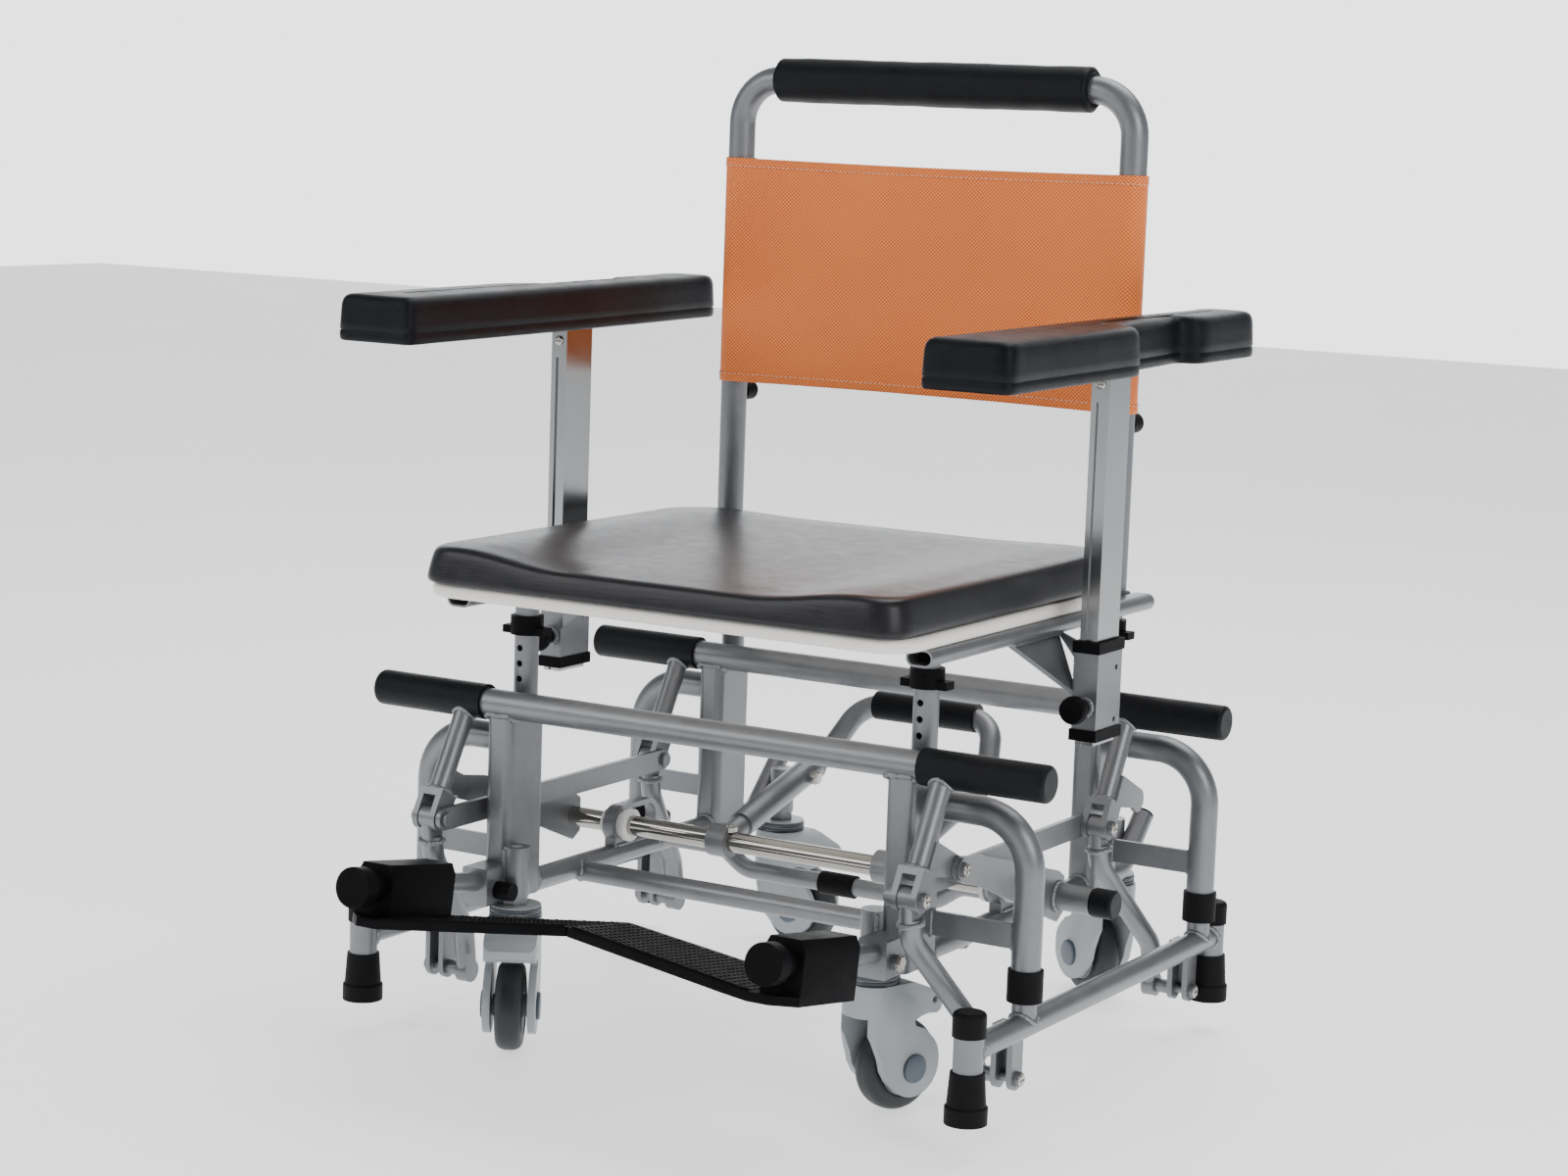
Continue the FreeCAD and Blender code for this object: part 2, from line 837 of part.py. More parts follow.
def ear(side, end):
    """The ear behind a link that takes the shaft plate's pivot."""
    knee_y, knee_z = knee(end)
    bolt_y, bolt_z = end + ear_back, rail_z - ear_drop
    slope_y, slope_z = knee_y - end, knee_z - rail_z
    high_share, low_share = 0.55, 0.82
    points = [point(ear_x(side), end + slope_y * high_share, rail_z + slope_z * high_share),
              point(ear_x(side), bolt_y + ear_round * 0.6, bolt_z + ear_round * 0.8),
              point(ear_x(side), bolt_y + ear_round * 0.6, bolt_z - ear_round * 0.8),
              point(ear_x(side), end + slope_y * low_share, rail_z + slope_z * low_share)]
    plate = profile(points).extrude(Vector(side * ear_thickness, 0, 0))
    outer = side * ear_thickness
    boss = rod(point(ear_x(side), bolt_y, bolt_z), point(ear_x(side) + outer, bolt_y, bolt_z), 2 * ear_round)
    head = ear_x(side) + side * (ear_thickness + 2 * body_gap + shaft_plate_thickness)
    bolt = rod(point(ear_x(side), bolt_y, bolt_z), point(head, bolt_y, bolt_z), ear_bolt_dia)
    washer = rod(point(head, bolt_y, bolt_z), point(head + side * washer_height, bolt_y, bolt_z), washer_dia)
    nut = rod(point(head, bolt_y, bolt_z), point(head + side * pin_head_height, bolt_y, bolt_z), pin_head_dia)
    shape = plate.fuse(boss)
    return shape.fuse(bolt).fuse(washer).fuse(nut) if end == 0 else shape


def rail_grip(side, end):
    """The black grip over a link's sleeve, open below for the link."""
    slope = (point(0, *knee(end)) - point(0, end, rail_z)).normalize()
    start = side * (rail_half + body_gap)
    finish = side * grip_end_x
    sleeve_end = side * (rail_half + spindle_reach)
    shape = rod(point(start, end, rail_z), point(finish, end, rail_z), grip_dia)
    sleeve_start = point(start - side * overrun, end, rail_z)
    shape = shape.cut(rod(sleeve_start, point(sleeve_end, end, rail_z), rail_dia))
    top = point(side * link_x, end, rail_z)
    shape = shape.cut(rod(top, top + slope * grip_dia, link_tube_dia))
    rim = [edge for edge in shape.Edges
           if max(abs(edge.BoundBox.XMin - finish), abs(edge.BoundBox.XMax - finish)) < same_place]
    return one_solid(shape.makeFillet(grip_cap, rim))


def lower_link(side, end):
    """The bent link from the knee down to the foot frame's pin."""
    knee_y, knee_z = knee(end)
    foot_y = end + guide_y
    top = point(side * link_x, knee_y, knee_z)
    foot = point(side * link_foot_x, foot_y, foot_pin_z)
    drop = knee_z - foot_pin_z
    high_drop_share, low_rise_share = 0.22, 0.24
    neck = point(side * link_x, knee_y + eye_round / 2, knee_z - drop * high_drop_share)
    heel = point(side * link_foot_x, foot_y - eye_round / 2, foot_pin_z + drop * low_rise_share)
    bend_radius = lower_link_dia * 1.6
    shape = bent_rod([top, neck, heel, foot], [bend_radius] * 2, lower_link_dia)
    half = Vector(eye_width / 2, 0, 0)
    for centre in (top, foot):
        flat = 2 * lower_link_dia
        for way in (-1, 1):
            near = centre + Vector(way * eye_width / 2, 0, 0)
            low = Vector(min(near.x, near.x + way * flat), near.y - eye_round * 2, near.z - eye_round * 1.7)
            high = Vector(max(near.x, near.x + way * flat), near.y + eye_round * 2, near.z + eye_round * 1.7)
            shape = shape.cut(block(low, high))
        shape = shape.fuse(rod(centre - half, centre + half, 2 * eye_round))
    shape = shape.cut(rod(top - half * 2, top + half * 2, pin_dia + 2 * running_gap))
    return one_solid(shape)


def link_bar(side):
    """The flat bar that ties the front and rear knees of one side."""
    outer = side * (link_x - clevis_half - body_gap)
    inner = outer - side * bar_thickness
    front_y, knee_z = knee(0)
    rear_y = knee(rail_spread)[0]
    low_x, high_x = min(inner, outer), max(inner, outer)
    half = bar_height / 2
    bar = block(point(low_x, front_y, knee_z - half), point(high_x, rear_y, knee_z + half))
    for y in (front_y, rear_y):
        bar = bar.fuse(rod(point(low_x, y, knee_z), point(high_x, y, knee_z), bar_height))
    for y in (front_y, rear_y):
        hole = rod(point(low_x - overrun, y, knee_z), point(high_x + overrun, y, knee_z),
                   pin_dia + 2 * running_gap)
        bar = bar.cut(hole)
    return one_solid(bar)


# Cross shaft and pull lever


def plate_x(side):
    """The inner face of a shaft plate, clear of the ear."""
    return side * (link_x + clevis_half + body_gap)


def make_cross_shaft():
    """The chrome shaft with its end stubs."""
    half = link_x + clevis_half + body_gap
    shape = rod(point(-half, shaft_y, shaft_z), point(half, shaft_y, shaft_z), shaft_dia)
    for side in side_shares.values():
        start = side * (half + shaft_plate_thickness + body_gap)
        stub = rod(point(start, shaft_y, shaft_z), point(start + side * shaft_stub_length, shaft_y, shaft_z),
                   shaft_stub_dia)
        neck = rod(point(0, shaft_y, shaft_z), point(start, shaft_y, shaft_z), shaft_dia)
        shape = shape.fuse(stub).fuse(neck)
    return one_solid(shape)


def shaft_plate(side):
    """The plate that joins the shaft to an upper link's ear."""
    x = plate_x(side)
    bolt_y, bolt_z = ear_back, rail_z - ear_drop
    half = shaft_plate_height / 2
    narrow = ear_round
    neck_share = 0.22
    neck_y = bolt_y + (shaft_y - bolt_y) * neck_share
    points = [point(x, bolt_y, bolt_z + narrow), point(x, neck_y, bolt_z + narrow * 0.4),
              point(x, shaft_y, shaft_z + half), point(x, shaft_y + half * 0.5, shaft_z + half * 0.7),
              point(x, shaft_y + half * 0.5, shaft_z - half * 0.7), point(x, shaft_y, shaft_z - half),
              point(x, neck_y, bolt_z - half), point(x, bolt_y, bolt_z - narrow)]
    thickness = Vector(side * shaft_plate_thickness, 0, 0)
    shape = profile(points).extrude(thickness)
    shape = shape.fuse(rod(point(x, bolt_y, bolt_z), point(x, bolt_y, bolt_z) + thickness, 2 * narrow))
    across = Vector(side * overrun, 0, 0)
    start = point(x, bolt_y, bolt_z) - across
    shape = shape.cut(rod(start, start + thickness + across * 2, ear_hole_dia))
    start = point(x, shaft_y, shaft_z) - across
    return shape.cut(rod(start, start + thickness + across * 2, shaft_dia + 2 * running_gap))


def shaft_knob(side):
    """The black knob on a shaft stub's end."""
    start = side * (link_x + clevis_half + 2 * body_gap + shaft_plate_thickness + shaft_stub_length)
    shape = rod(point(start, shaft_y, shaft_z), point(start + side * shaft_knob_length, shaft_y, shaft_z),
                shaft_knob_dia)
    return shape.makeChamfer(tube_wall, shape.Edges[:1] + shape.Edges[2:3])


def make_shaft_plates():
    return group(both_sides(shaft_plate))


def shaft_roller(side):
    """The white roller that carries the shaft in its loop."""
    start = side * (post_x - roller_length / 2)
    finish = side * (post_x + roller_length / 2)
    shape = rod(point(start, shaft_y, shaft_z), point(finish, shaft_y, shaft_z), roller_dia)
    flange_end = point(start - side * roller_flange, shaft_y, shaft_z)
    shape = shape.fuse(rod(point(start, shaft_y, shaft_z), flange_end, roller_flange_dia))
    bore_low = point(side * (post_x - roller_length), shaft_y, shaft_z)
    bore_high = point(side * (post_x + roller_length), shaft_y, shaft_z)
    return shape.cut(rod(bore_low, bore_high, shaft_dia + 2 * running_gap))


def make_shaft_rollers():
    return group(both_sides(shaft_roller))


def guide_loop(side):
    """The welded strap loop in which a roller runs."""
    slot_half = roller_dia / 2 + running_gap
    front = shaft_y
    rear = shaft_y + shaft_travel
    low_x = side * post_x - loop_width / 2
    high_x = side * post_x + loop_width / 2

    def oval(radius, reach):
        left = low_x - reach
        right = high_x + reach
        body = block(point(left, front, shaft_z - radius), point(right, rear, shaft_z + radius))
        for y in (front, rear):
            body = body.fuse(rod(point(left, y, shaft_z), point(right, y, shaft_z), 2 * radius))
        return body

    shape = oval(slot_half + loop_strap, 0)
    foot = block(point(low_x, front - slot_half, side_tube_z), point(high_x, rear + slot_half, shaft_z))
    shape = shape.fuse(foot).cut(oval(slot_half, overrun))
    return shape.cut(side_tube_line(side))


def lever_point(side, along, x=None):
    """A point on a lever leg, counted along its slope from the shaft."""
    slope = radians(lever_slope)
    place_x = side * lever_x if x is None else x
    return point(place_x, shaft_y + along * cos(slope), shaft_z + along * sin(slope))


def lever_leg_points():
    """The bent line of the lever from its left leg round to its right."""
    places = []
    for side in (-1, 1):
        leg = [lever_point(side, lever_sleeve_start), lever_point(side, lever_bend_at),
               point(side * (lever_grip_half + lever_corner_radius / 2), lever_grip_y, lever_grip_z)]
        places.extend(leg if side < 0 else leg[::-1])
    return places


def lever_rod():
    """The lever's bent bar, from leg to leg."""
    radii = [lever_tube_dia * 2, lever_corner_radius, lever_corner_radius, lever_tube_dia * 2]
    return bent_rod(lever_leg_points(), radii, lever_tube_dia)


def make_pull_lever():
    """The U-shaped lever with its sleeves, eyes and bolts."""
    shape = lever_rod()
    for side in side_shares.values():
        x = side * lever_x
        sleeve = rod(lever_point(side, lever_sleeve_start), lever_point(side, lever_sleeve_end),
                     lever_sleeve_dia)
        half = lever_eye_width / 2
        eye = rod(point(x - half, shaft_y, shaft_z), point(x + half, shaft_y, shaft_z), lever_eye_dia)
        neck = rod(lever_point(side, 0), lever_point(side, lever_sleeve_start), lever_tube_dia)
        bolt_at = lever_point(side, lever_sleeve_end - lever_sleeve_dia)
        bolt = rod(bolt_at, bolt_at + Vector(lever_sleeve_dia / 2 + pin_head_height, 0, 0), pin_head_dia)
        for piece in (sleeve, neck, bolt, eye):
            shape = shape.fuse(piece)
    shaft = rod(point(-guide_x, shaft_y, shaft_z), point(guide_x, shaft_y, shaft_z), shaft_dia)
    return one_solid(shape.cut(shaft))


def make_lever_grip_and_knobs():
    """The black grip in the middle of the lever, and the knobs of the shaft."""
    left = point(-lever_grip_half, lever_grip_y, lever_grip_z)
    right = point(lever_grip_half, lever_grip_y, lever_grip_z)
    return group([rod(left, right, lever_grip_dia).cut(lever_rod())] + both_sides(shaft_knob))


# Casters


def caster_axis(side, end):
    """The middle of a caster's swivel at floor level."""
    return point(side * socket_x, socket_y(end), 0)


def caster_turn(side, end):
    """The angle at which a caster stands."""
    turns = {(-1, 0.0): caster_turn_front_left, (1, 0.0): caster_turn_front_right,
             (-1, rail_spread): caster_turn_rear_left, (1, rail_spread): caster_turn_rear_right}
    return turns[(side, end)]


def place_caster(shape, side, end):
    """Turn a piece built with its trail towards +Y, and set it under its socket."""
    turned = shape.rotate(Vector(0, 0, 0), Vector(0, 0, 1), caster_turn(side, end))
    return turned.translate(caster_axis(side, end))


def fork_form():
    """The fork's side outline carried through its width, rounded in plan, with its hood over the wheel."""
    half = fork_width / 2
    crown = swivel_top_z - swivel_disc_height
    places = [Vector(-half, along * wheel_dia, high * wheel_dia) for along, high in fork_outline_shares]
    shape = profile(places).extrude(Vector(fork_width, 0, 0))
    lower = Vector(-half, caster_trail, wheel_dia / 2 + fork_lower_lift)
    shape = shape.fuse(Part.makeCylinder(fork_lower_radius, fork_width, lower, Vector(1, 0, 0)))
    reach = max(along for along, high in fork_outline_shares) * wheel_dia
    plan = rounded_block(Vector(-half, -pedal_corner, 0), Vector(half, reach, crown), pedal_corner,
                         Vector(0, 0, 1))
    plan = plan.fuse(Part.makeCylinder(fork_crown_radius, crown))
    return shape.common(plan)


def wheel_room():
    """The space for the wheel between the fork's cheeks, open in front."""
    half = fork_width / 2 - cheek_thickness
    centre = Vector(-half, caster_trail, wheel_dia / 2)
    shape = Part.makeCylinder(wheel_dia / 2 + cheek_gap, 2 * half, centre, Vector(1, 0, 0))
    front_low = Vector(-half, -fork_crown_radius - overrun, 0)
    return shape.fuse(block(front_low, Vector(half, caster_trail, fork_front_room_z)))


def caster_fork(side, end):
    """The fork with its swivel disc, stem, axle, axle caps and the hole of its pedal."""
    half = fork_width / 2
    crown = swivel_top_z - swivel_disc_height
    hole_start = Vector(-half - overrun, pedal_hole_y, pedal_hole_z)
    hole_end = Vector(half + overrun, pedal_hole_y, pedal_hole_z)
    shape = fork_form().cut(wheel_room()).cut(rod(hole_start, hole_end, pedal_hole_dia))
    disc = Part.makeCylinder(swivel_disc_dia / 2, swivel_disc_height, Vector(0, 0, crown))
    stem = Part.makeCylinder(stem_dia / 2, socket_top_z - swivel_top_z, Vector(0, 0, swivel_top_z))
    axle_start = Vector(-half, caster_trail, wheel_dia / 2)
    axle = rod(axle_start, Vector(half, caster_trail, wheel_dia / 2), axle_dia)
    shape = shape.fuse(disc).fuse(stem).fuse(axle)
    for way in (-1, 1):
        face = Vector(way * half, caster_trail, wheel_dia / 2)
        shape = shape.fuse(Part.makeCylinder(axle_cap_dia / 2, axle_cap_height, face, Vector(way, 0, 0)))
    return place_caster(one_solid(shape), side, end)


def caster_wheel(side, end):
    """A wheel: the grey tyre and the hub that turns on the axle."""
    half = tyre_width / 2
    bore = axle_dia / 2 + running_gap
    radius = wheel_dia / 2
    hub_half = fork_width / 2 - cheek_thickness - body_gap
    hub_points = [Vector(-hub_half, bore, 0), Vector(-hub_half, axle_dia, 0), Vector(-half, axle_dia, 0),
                  Vector(-half, hub_dia / 2, 0), Vector(half, hub_dia / 2, 0), Vector(half, axle_dia, 0),
                  Vector(hub_half, axle_dia, 0), Vector(hub_half, bore, 0)]
    hub = profile(hub_points).revolve(Vector(0, 0, 0), Vector(1, 0, 0), 360)
    tyre_points = [Vector(-half, hub_dia / 2, 0), Vector(-half, radius - tyre_round, 0),
                   Vector(-half + tyre_round, radius, 0), Vector(half - tyre_round, radius, 0),
                   Vector(half, radius - tyre_round, 0), Vector(half, hub_dia / 2, 0)]
    tyre = profile(tyre_points).revolve(Vector(0, 0, 0), Vector(1, 0, 0), 360)
    pieces = []
    for piece in (tyre, hub):
        raised = piece.translate(Vector(0, caster_trail, wheel_dia / 2))
        pieces.append(place_caster(raised, side, end))
    return Part.makeCompound(pieces)


# Seat frame


def oval_tube(centre_x, front, rear, z):
    """A flat-oval rail along Y, open at both ends."""
    def oval(inset, reach):
        half = seat_rail_height / 2 - inset
        side = seat_rail_width / 2 - seat_rail_height / 2
        low_y = front - reach
        high_y = rear + reach
        body = block(point(centre_x - side, low_y, z - half), point(centre_x + side, high_y, z + half))
        for x in (centre_x - side, centre_x + side):
            body = body.fuse(rod(point(x, low_y, z), point(x, high_y, z), 2 * half))
        return body.removeSplitter()
    return oval(0, 0).cut(oval(seat_tube_wall, overrun))


def seat_rail(side):
    return oval_tube(side * seat_rail_x, seat_rail_front_y, seat_rail_rear_y, seat_rail_z)


def cross_form(end):
    """A seat cross tube's outer form, for fitting what meets it."""
    y = end + seat_leg_y
    return rod(point(-seat_rail_x, y, seat_rail_z), point(seat_rail_x, y, seat_rail_z), seat_rail_height)


def seat_cross_tube(end):
    """A cross tube that ties the seat rails over one pair of legs."""
    half = seat_rail_x - seat_rail_width / 2
    y = end + seat_leg_y
    return tube(point(-half, y, seat_rail_z), point(half, y, seat_rail_z), seat_rail_height, seat_tube_wall)


def make_seat_frame():
    return group(both_sides(seat_rail) + [seat_cross_tube(end) for end in ends.values()])


def seat_leg(side, end):
    """A seat leg with its row of holes."""
    x = side * post_x
    y = end + seat_leg_y
    shape = tube(point(x, y, seat_leg_bottom_z), point(x, y, seat_rail_z), seat_leg_dia, tube_wall)
    for step in range(seat_hole_count):
        z = seat_hole_top_z - step * seat_hole_pitch
        shape = shape.cut(rod(point(x, y - seat_leg_dia, z), point(x, y, z), seat_hole_dia))
    return shape.cut(cross_form(end))


def leg_collar(side, end):
    """The black collar with side lugs under the seat frame."""
    x = side * post_x
    y = end + seat_leg_y
    low = point(x, y, collar_bottom_z)
    high = point(x, y, collar_bottom_z + collar_height)
    shape = rod(low, high, collar_dia)
    lug_z = collar_bottom_z + collar_lug
    half = collar_dia / 2 + collar_lug
    shape = shape.fuse(block(point(x - half, y - collar_lug, collar_bottom_z),
                             point(x + half, y + collar_lug, lug_z)))
    return shape.cut(rod(low - Vector(0, 0, overrun), high + Vector(0, 0, overrun), seat_leg_dia))


def make_seat_legs():
    return group(four_corners(seat_leg) + four_corners(leg_collar))


# Seat board and cushion


def make_seat_board():
    """The white board under the cushion, rimmed round its underside."""
    low_z = seat_rail_z + seat_rail_height / 2
    upright = Vector(0, 0, 1)
    low = point(-board_half_width, board_front_y, low_z)
    high = point(board_half_width, board_rear_y, low_z + board_thickness)
    shape = rounded_block(low, high, board_corner, upright)
    rims = [edge for edge in shape.Edges if edge.BoundBox.ZLength < same_place]
    shape = shape.makeFillet(board_rim_depth, rims)
    return one_solid(shape)


def cushion_z():
    """The cushion lies just clear of the board."""
    return seat_rail_z + seat_rail_height / 2 + board_thickness + body_gap / 2


def cushion_section(y, inset, height_share, dip_share):
    """A cross section of the cushion: drawn-in sides, raised flanks and a dipped middle."""
    half = cushion_half_width - inset
    low = cushion_z()
    edge = low + cushion_edge_height * height_share
    crown = edge + cushion_crown * height_share
    dip = crown - cushion_dip * dip_share
    draw = cushion_side_draw
    ridge = half - cushion_flank
    left_low = point(-half + draw / 2, y, low)
    right_low = point(half - draw / 2, y, low)
    left_waist = point(-half, y, low + draw)
    right_waist = point(half, y, low + draw)
    left_edge = point(-half + draw, y, edge)
    right_edge = point(half - draw, y, edge)
    left_ridge = point(-ridge, y, crown)
    right_ridge = point(ridge, y, crown)
    edges = [Part.LineSegment(left_low, right_low).toShape(),
             Part.LineSegment(right_low, right_waist).toShape(),
             Part.LineSegment(right_waist, right_edge).toShape(),
             Part.LineSegment(right_edge, right_ridge).toShape(),
             Part.Arc(right_ridge, point(0, y, dip), left_ridge).toShape(),
             Part.LineSegment(left_ridge, left_edge).toShape(),
             Part.LineSegment(left_edge, left_waist).toShape(),
             Part.LineSegment(left_waist, left_low).toShape()]
    return Part.Wire(edges)


def corner_inset(radius, share):
    """How far a rounded corner draws a side in, at a share of its radius from the end."""
    return radius * (1 - sqrt(1 - (1 - share) ** 2))


def make_seat_cushion():
    """A moulded cushion: rounded corners, drawn-in sides, a dip that fades to the back."""
    corner_shares = [(0.0, 0.5), (0.06, 0.74), (0.25, 0.93), (0.6, 1.0), (1.0, 1.0)]
    wires = []
    for share, tall in corner_shares:
        y = cushion_front_y + cushion_corner * share
        wires.append(cushion_section(y, corner_inset(cushion_corner, share), tall, 1.0))
    middle_y = (cushion_front_y + cushion_rear_y) / 2
    wires.append(cushion_section(middle_y, 0, 1.0, 0.5))
    for share, tall in reversed(corner_shares):
        y = cushion_rear_y - cushion_rear_corner * share
        wires.append(cushion_section(y, corner_inset(cushion_rear_corner, share), tall, 0.25))
    return Part.makeLoft(wires, True, True)


# Armrests


def arm_low(side, inset):
    """The inner front corner of an arm post's section."""
    return side * arm_x - arm_post_width / 2 + inset, arm_post_front_y + inset


def arm_section(side, grow, low_z, high_z):
    """A box on an arm post's section, grown outwards all round."""
    low_x, front = arm_low(side, -grow)
    return block(point(low_x, front, low_z),
                 point(low_x + arm_post_width + 2 * grow, front + arm_post_depth + 2 * grow, high_z))


def arm_post(side):
    """The extruded arm post, hollow above its plug, with a groove for the plunger."""
    shape = arm_section(side, 0, arm_post_bottom_z, pad_bottom_z + overrun)
    low_x, front = arm_low(side, arm_wall)
    hollow_low = arm_post_bottom_z + arm_post_width
    hollow = block(point(low_x, front + arm_groove_depth + body_gap, hollow_low),
                   point(low_x + arm_post_width - 2 * arm_wall, front + arm_post_depth - 2 * arm_wall,
                         pad_bottom_z + 2 * overrun))
    groove_half = knob_plunger_dia / 2 + body_gap
    groove_low = arm_post_bottom_z - overrun
    groove = block(point(side * arm_x - groove_half, arm_post_front_y - overrun, groove_low),
                   point(side * arm_x + groove_half, arm_post_front_y + arm_groove_depth, arm_groove_top_z))
    return one_solid(shape.cut(hollow).cut(groove).cut(above_pad_foot()))


def pad_tilt(shape):
    """Turn a piece by the slight rise of the arm pads about their posts."""
    middle = point(0, arm_post_front_y + arm_post_depth / 2, pad_bottom_z)
    return shape.rotate(middle, Vector(1, 0, 0), pad_rise)


def above_pad_foot():
    """The space above the undersides of the arm pads."""
    reach = pad_rear_y - pad_front_y
    return pad_tilt(block(point(-reach, pad_front_y, pad_bottom_z),
                          point(reach, pad_rear_y, pad_bottom_z + reach)))


def gusset_leaf(corners):
    """A flat plate of even thickness through three corners."""
    face = profile(corners)
    square = (corners[1] - corners[0]).cross(corners[2] - corners[0]).normalize()
    return face.extrude(square * gusset_thickness)


def arm_socket(side):
    """The socket that hangs from the seat rail on a folded gusset."""
    shape = arm_section(side, arm_socket_wall, arm_socket_bottom_z, arm_socket_top_z)
    rear_y = arm_post_front_y + arm_post_depth
    inner = side * (arm_x - arm_post_width / 2)
    under = seat_rail_z - seat_rail_height / 2 + overrun
    rail_x = side * seat_rail_x
    front_top = point(rail_x, arm_post_front_y - gusset_lead, under)
    middle_top = point(rail_x, arm_post_front_y, under)
    rear_top = point(rail_x, rear_y - gusset_thickness, under)
    low = point(inner, arm_post_front_y, arm_socket_bottom_z + gusset_rise)
    rear_low = point(inner, rear_y - gusset_thickness, arm_socket_bottom_z + gusset_rise)
    high = point(inner, rear_y - gusset_thickness, arm_socket_top_z - gusset_thickness)
    if side > 0:
        leaves = [[front_top, middle_top, low], [middle_top, rear_top, low], [rear_low, high, rear_top]]
    else:
        leaves = [[middle_top, front_top, low], [rear_top, middle_top, low], [high, rear_low, rear_top]]
    for leaf in leaves:
        shape = shape.fuse(gusset_leaf(leaf))
    knob = knob_place(side)
    boss_end = knob - Vector(0, arm_groove_depth - body_gap + arm_socket_wall + boss_length, 0)
    shape = shape.fuse(rod(knob, boss_end, knob_boss_dia))
    shape = shape.cut(arm_section(side, running_gap, arm_socket_bottom_z - overrun, seat_rail_z + pad_height))
    shape = shape.cut(oval_solid(side))
    outer = side * (arm_x + arm_post_width / 2)
    for z in (arm_socket_top_z - knob_boss_dia, arm_socket_bottom_z + knob_plunger_dia):
        hole_start = point(outer - side * overrun, gauge_hole_y, z)
        hole_end = point(outer + side * arm_post_width, gauge_hole_y, z)
        shape = shape.cut(rod(hole_start, hole_end, gauge_hole_dia))
    return shape.cut(rod(knob, boss_end - Vector(0, overrun, 0), knob_plunger_dia + 2 * running_gap))


def oval_solid(side):
    """A seat rail's outer form, for fitting what meets it."""
    half = seat_rail_height / 2
    flat = seat_rail_width / 2 - half
    x = side * seat_rail_x
    body = block(point(x - flat, seat_rail_front_y, seat_rail_z - half),
                 point(x + flat, seat_rail_rear_y, seat_rail_z + half))
    for place in (x - flat, x + flat):
        body = body.fuse(rod(point(place, seat_rail_front_y, seat_rail_z),
                             point(place, seat_rail_rear_y, seat_rail_z), seat_rail_height))
    return body


def knob_place(side):
    """Where a lock knob's plunger ends, in the arm post's front groove."""
    return point(side * arm_x, arm_post_front_y + arm_groove_depth - body_gap, lock_knob_z)


def make_arm_sockets():
    return group(both_sides(arm_socket))


def arm_ring(side, low_z):
    """A black ring at an end of an arm socket."""
    shape = arm_section(side, arm_ring_wall + arm_socket_wall / 2, low_z, low_z + arm_ring_height)
    return shape.cut(arm_section(side, body_gap / 2, low_z - overrun, low_z + arm_ring_height + overrun))


def make_socket_rings():
    pieces = []
    for side in side_shares.values():
        pieces.append(arm_ring(side, arm_socket_bottom_z - arm_ring_height))
        pieces.append(arm_ring(side, arm_socket_top_z))
    return group(pieces)


def arm_pad(side):
    """An arm pad: broad in front, stepped in behind, with a softened rim."""
    inner, outer = pad_inner_x, pad_outer_x
    waist, rear_outer, rear_inner = pad_waist_x, pad_rear_outer_x, pad_rear_inner_x
    round_share = 0.3
    rear_corner = 2 * pad_corner
    points = [(inner + pad_corner, pad_front_y), (outer - pad_corner, pad_front_y),
              (outer - pad_corner * round_share, pad_front_y + pad_corner * round_share),
              (outer, pad_front_y + pad_corner), (outer, pad_step_y - rear_corner),
              (outer - rear_corner * round_share, pad_step_y - rear_corner * round_share),
              (outer - rear_corner, pad_step_y), (waist + pad_corner, pad_step_y + pad_corner),
              (waist, pad_waist_end_y - pad_corner), (rear_outer, pad_waist_end_y + pad_corner),
              (rear_outer, pad_rear_y - rear_corner),
              (rear_outer - rear_corner * round_share, pad_rear_y - rear_corner * round_share),
              (rear_outer - rear_corner, pad_rear_y), (rear_inner + rear_corner, pad_rear_y),
              (rear_inner + rear_corner * round_share, pad_rear_y - rear_corner * round_share),
              (rear_inner, pad_rear_y - rear_corner), (inner, pad_step_y),
              (inner, pad_front_y + pad_corner),
              (inner + pad_corner * round_share, pad_front_y + pad_corner * round_share)]
    low_z = pad_bottom_z
    face = profile([point(side * x, y, low_z) for x, y in points])
    shape = face.extrude(Vector(0, 0, pad_height))
    upper = [edge for edge in shape.Edges if edge.BoundBox.ZMin > low_z + pad_height - overrun]
    shape = shape.makeChamfer(pad_edge, upper)
    return pad_tilt(one_solid(shape))


def lock_knob(side):
    """The mushroom knob with its stem and plunger."""
    seat = knob_place(side)
    forward = Vector(0, -1, 0)
    face = seat + forward * (arm_groove_depth + arm_socket_wall + boss_length)
    plunger = rod(seat, face, knob_plunger_dia)
    stem_end = face + forward * knob_stem_length
    stem = rod(face, stem_end, knob_stem_dia)
    ball = Part.makeSphere(knob_ball_dia / 2, stem_end + forward * (knob_ball_dia / 3))
    cap = rod(stem_end, stem_end + forward * knob_cap_length, knob_ball_dia + knob_ball_dia)
    return one_solid(plunger.fuse(stem).fuse(ball.common(cap)))


# Backrest


def back_points():
    """The line of the backrest tube, up from one seat rail and down to the other."""
    return [point(-back_x, back_y, seat_rail_z), point(-back_x, back_y, back_top_z),
            point(back_x, back_y, back_top_z), point(back_x, back_y, seat_rail_z)]


def make_backrest_tube():
    """The bent backrest tube, welded on the rear cross tube inside the seat rails."""
    shape = bent_tube(back_points(), [back_bend_radius] * 2, back_tube_dia, tube_wall)
    shape = shape.cut(cross_form(rail_spread))
    for side in side_shares.values():
        shape = shape.cut(oval_solid(side))
    return one_solid(shape)


def make_push_grip():
    """The foam grip along the top of the backrest."""
    left = point(-back_grip_half, back_y, back_top_z)
    right = point(back_grip_half, back_y, back_top_z)
    return one_solid(ring(left, right, back_grip_dia, back_tube_dia))


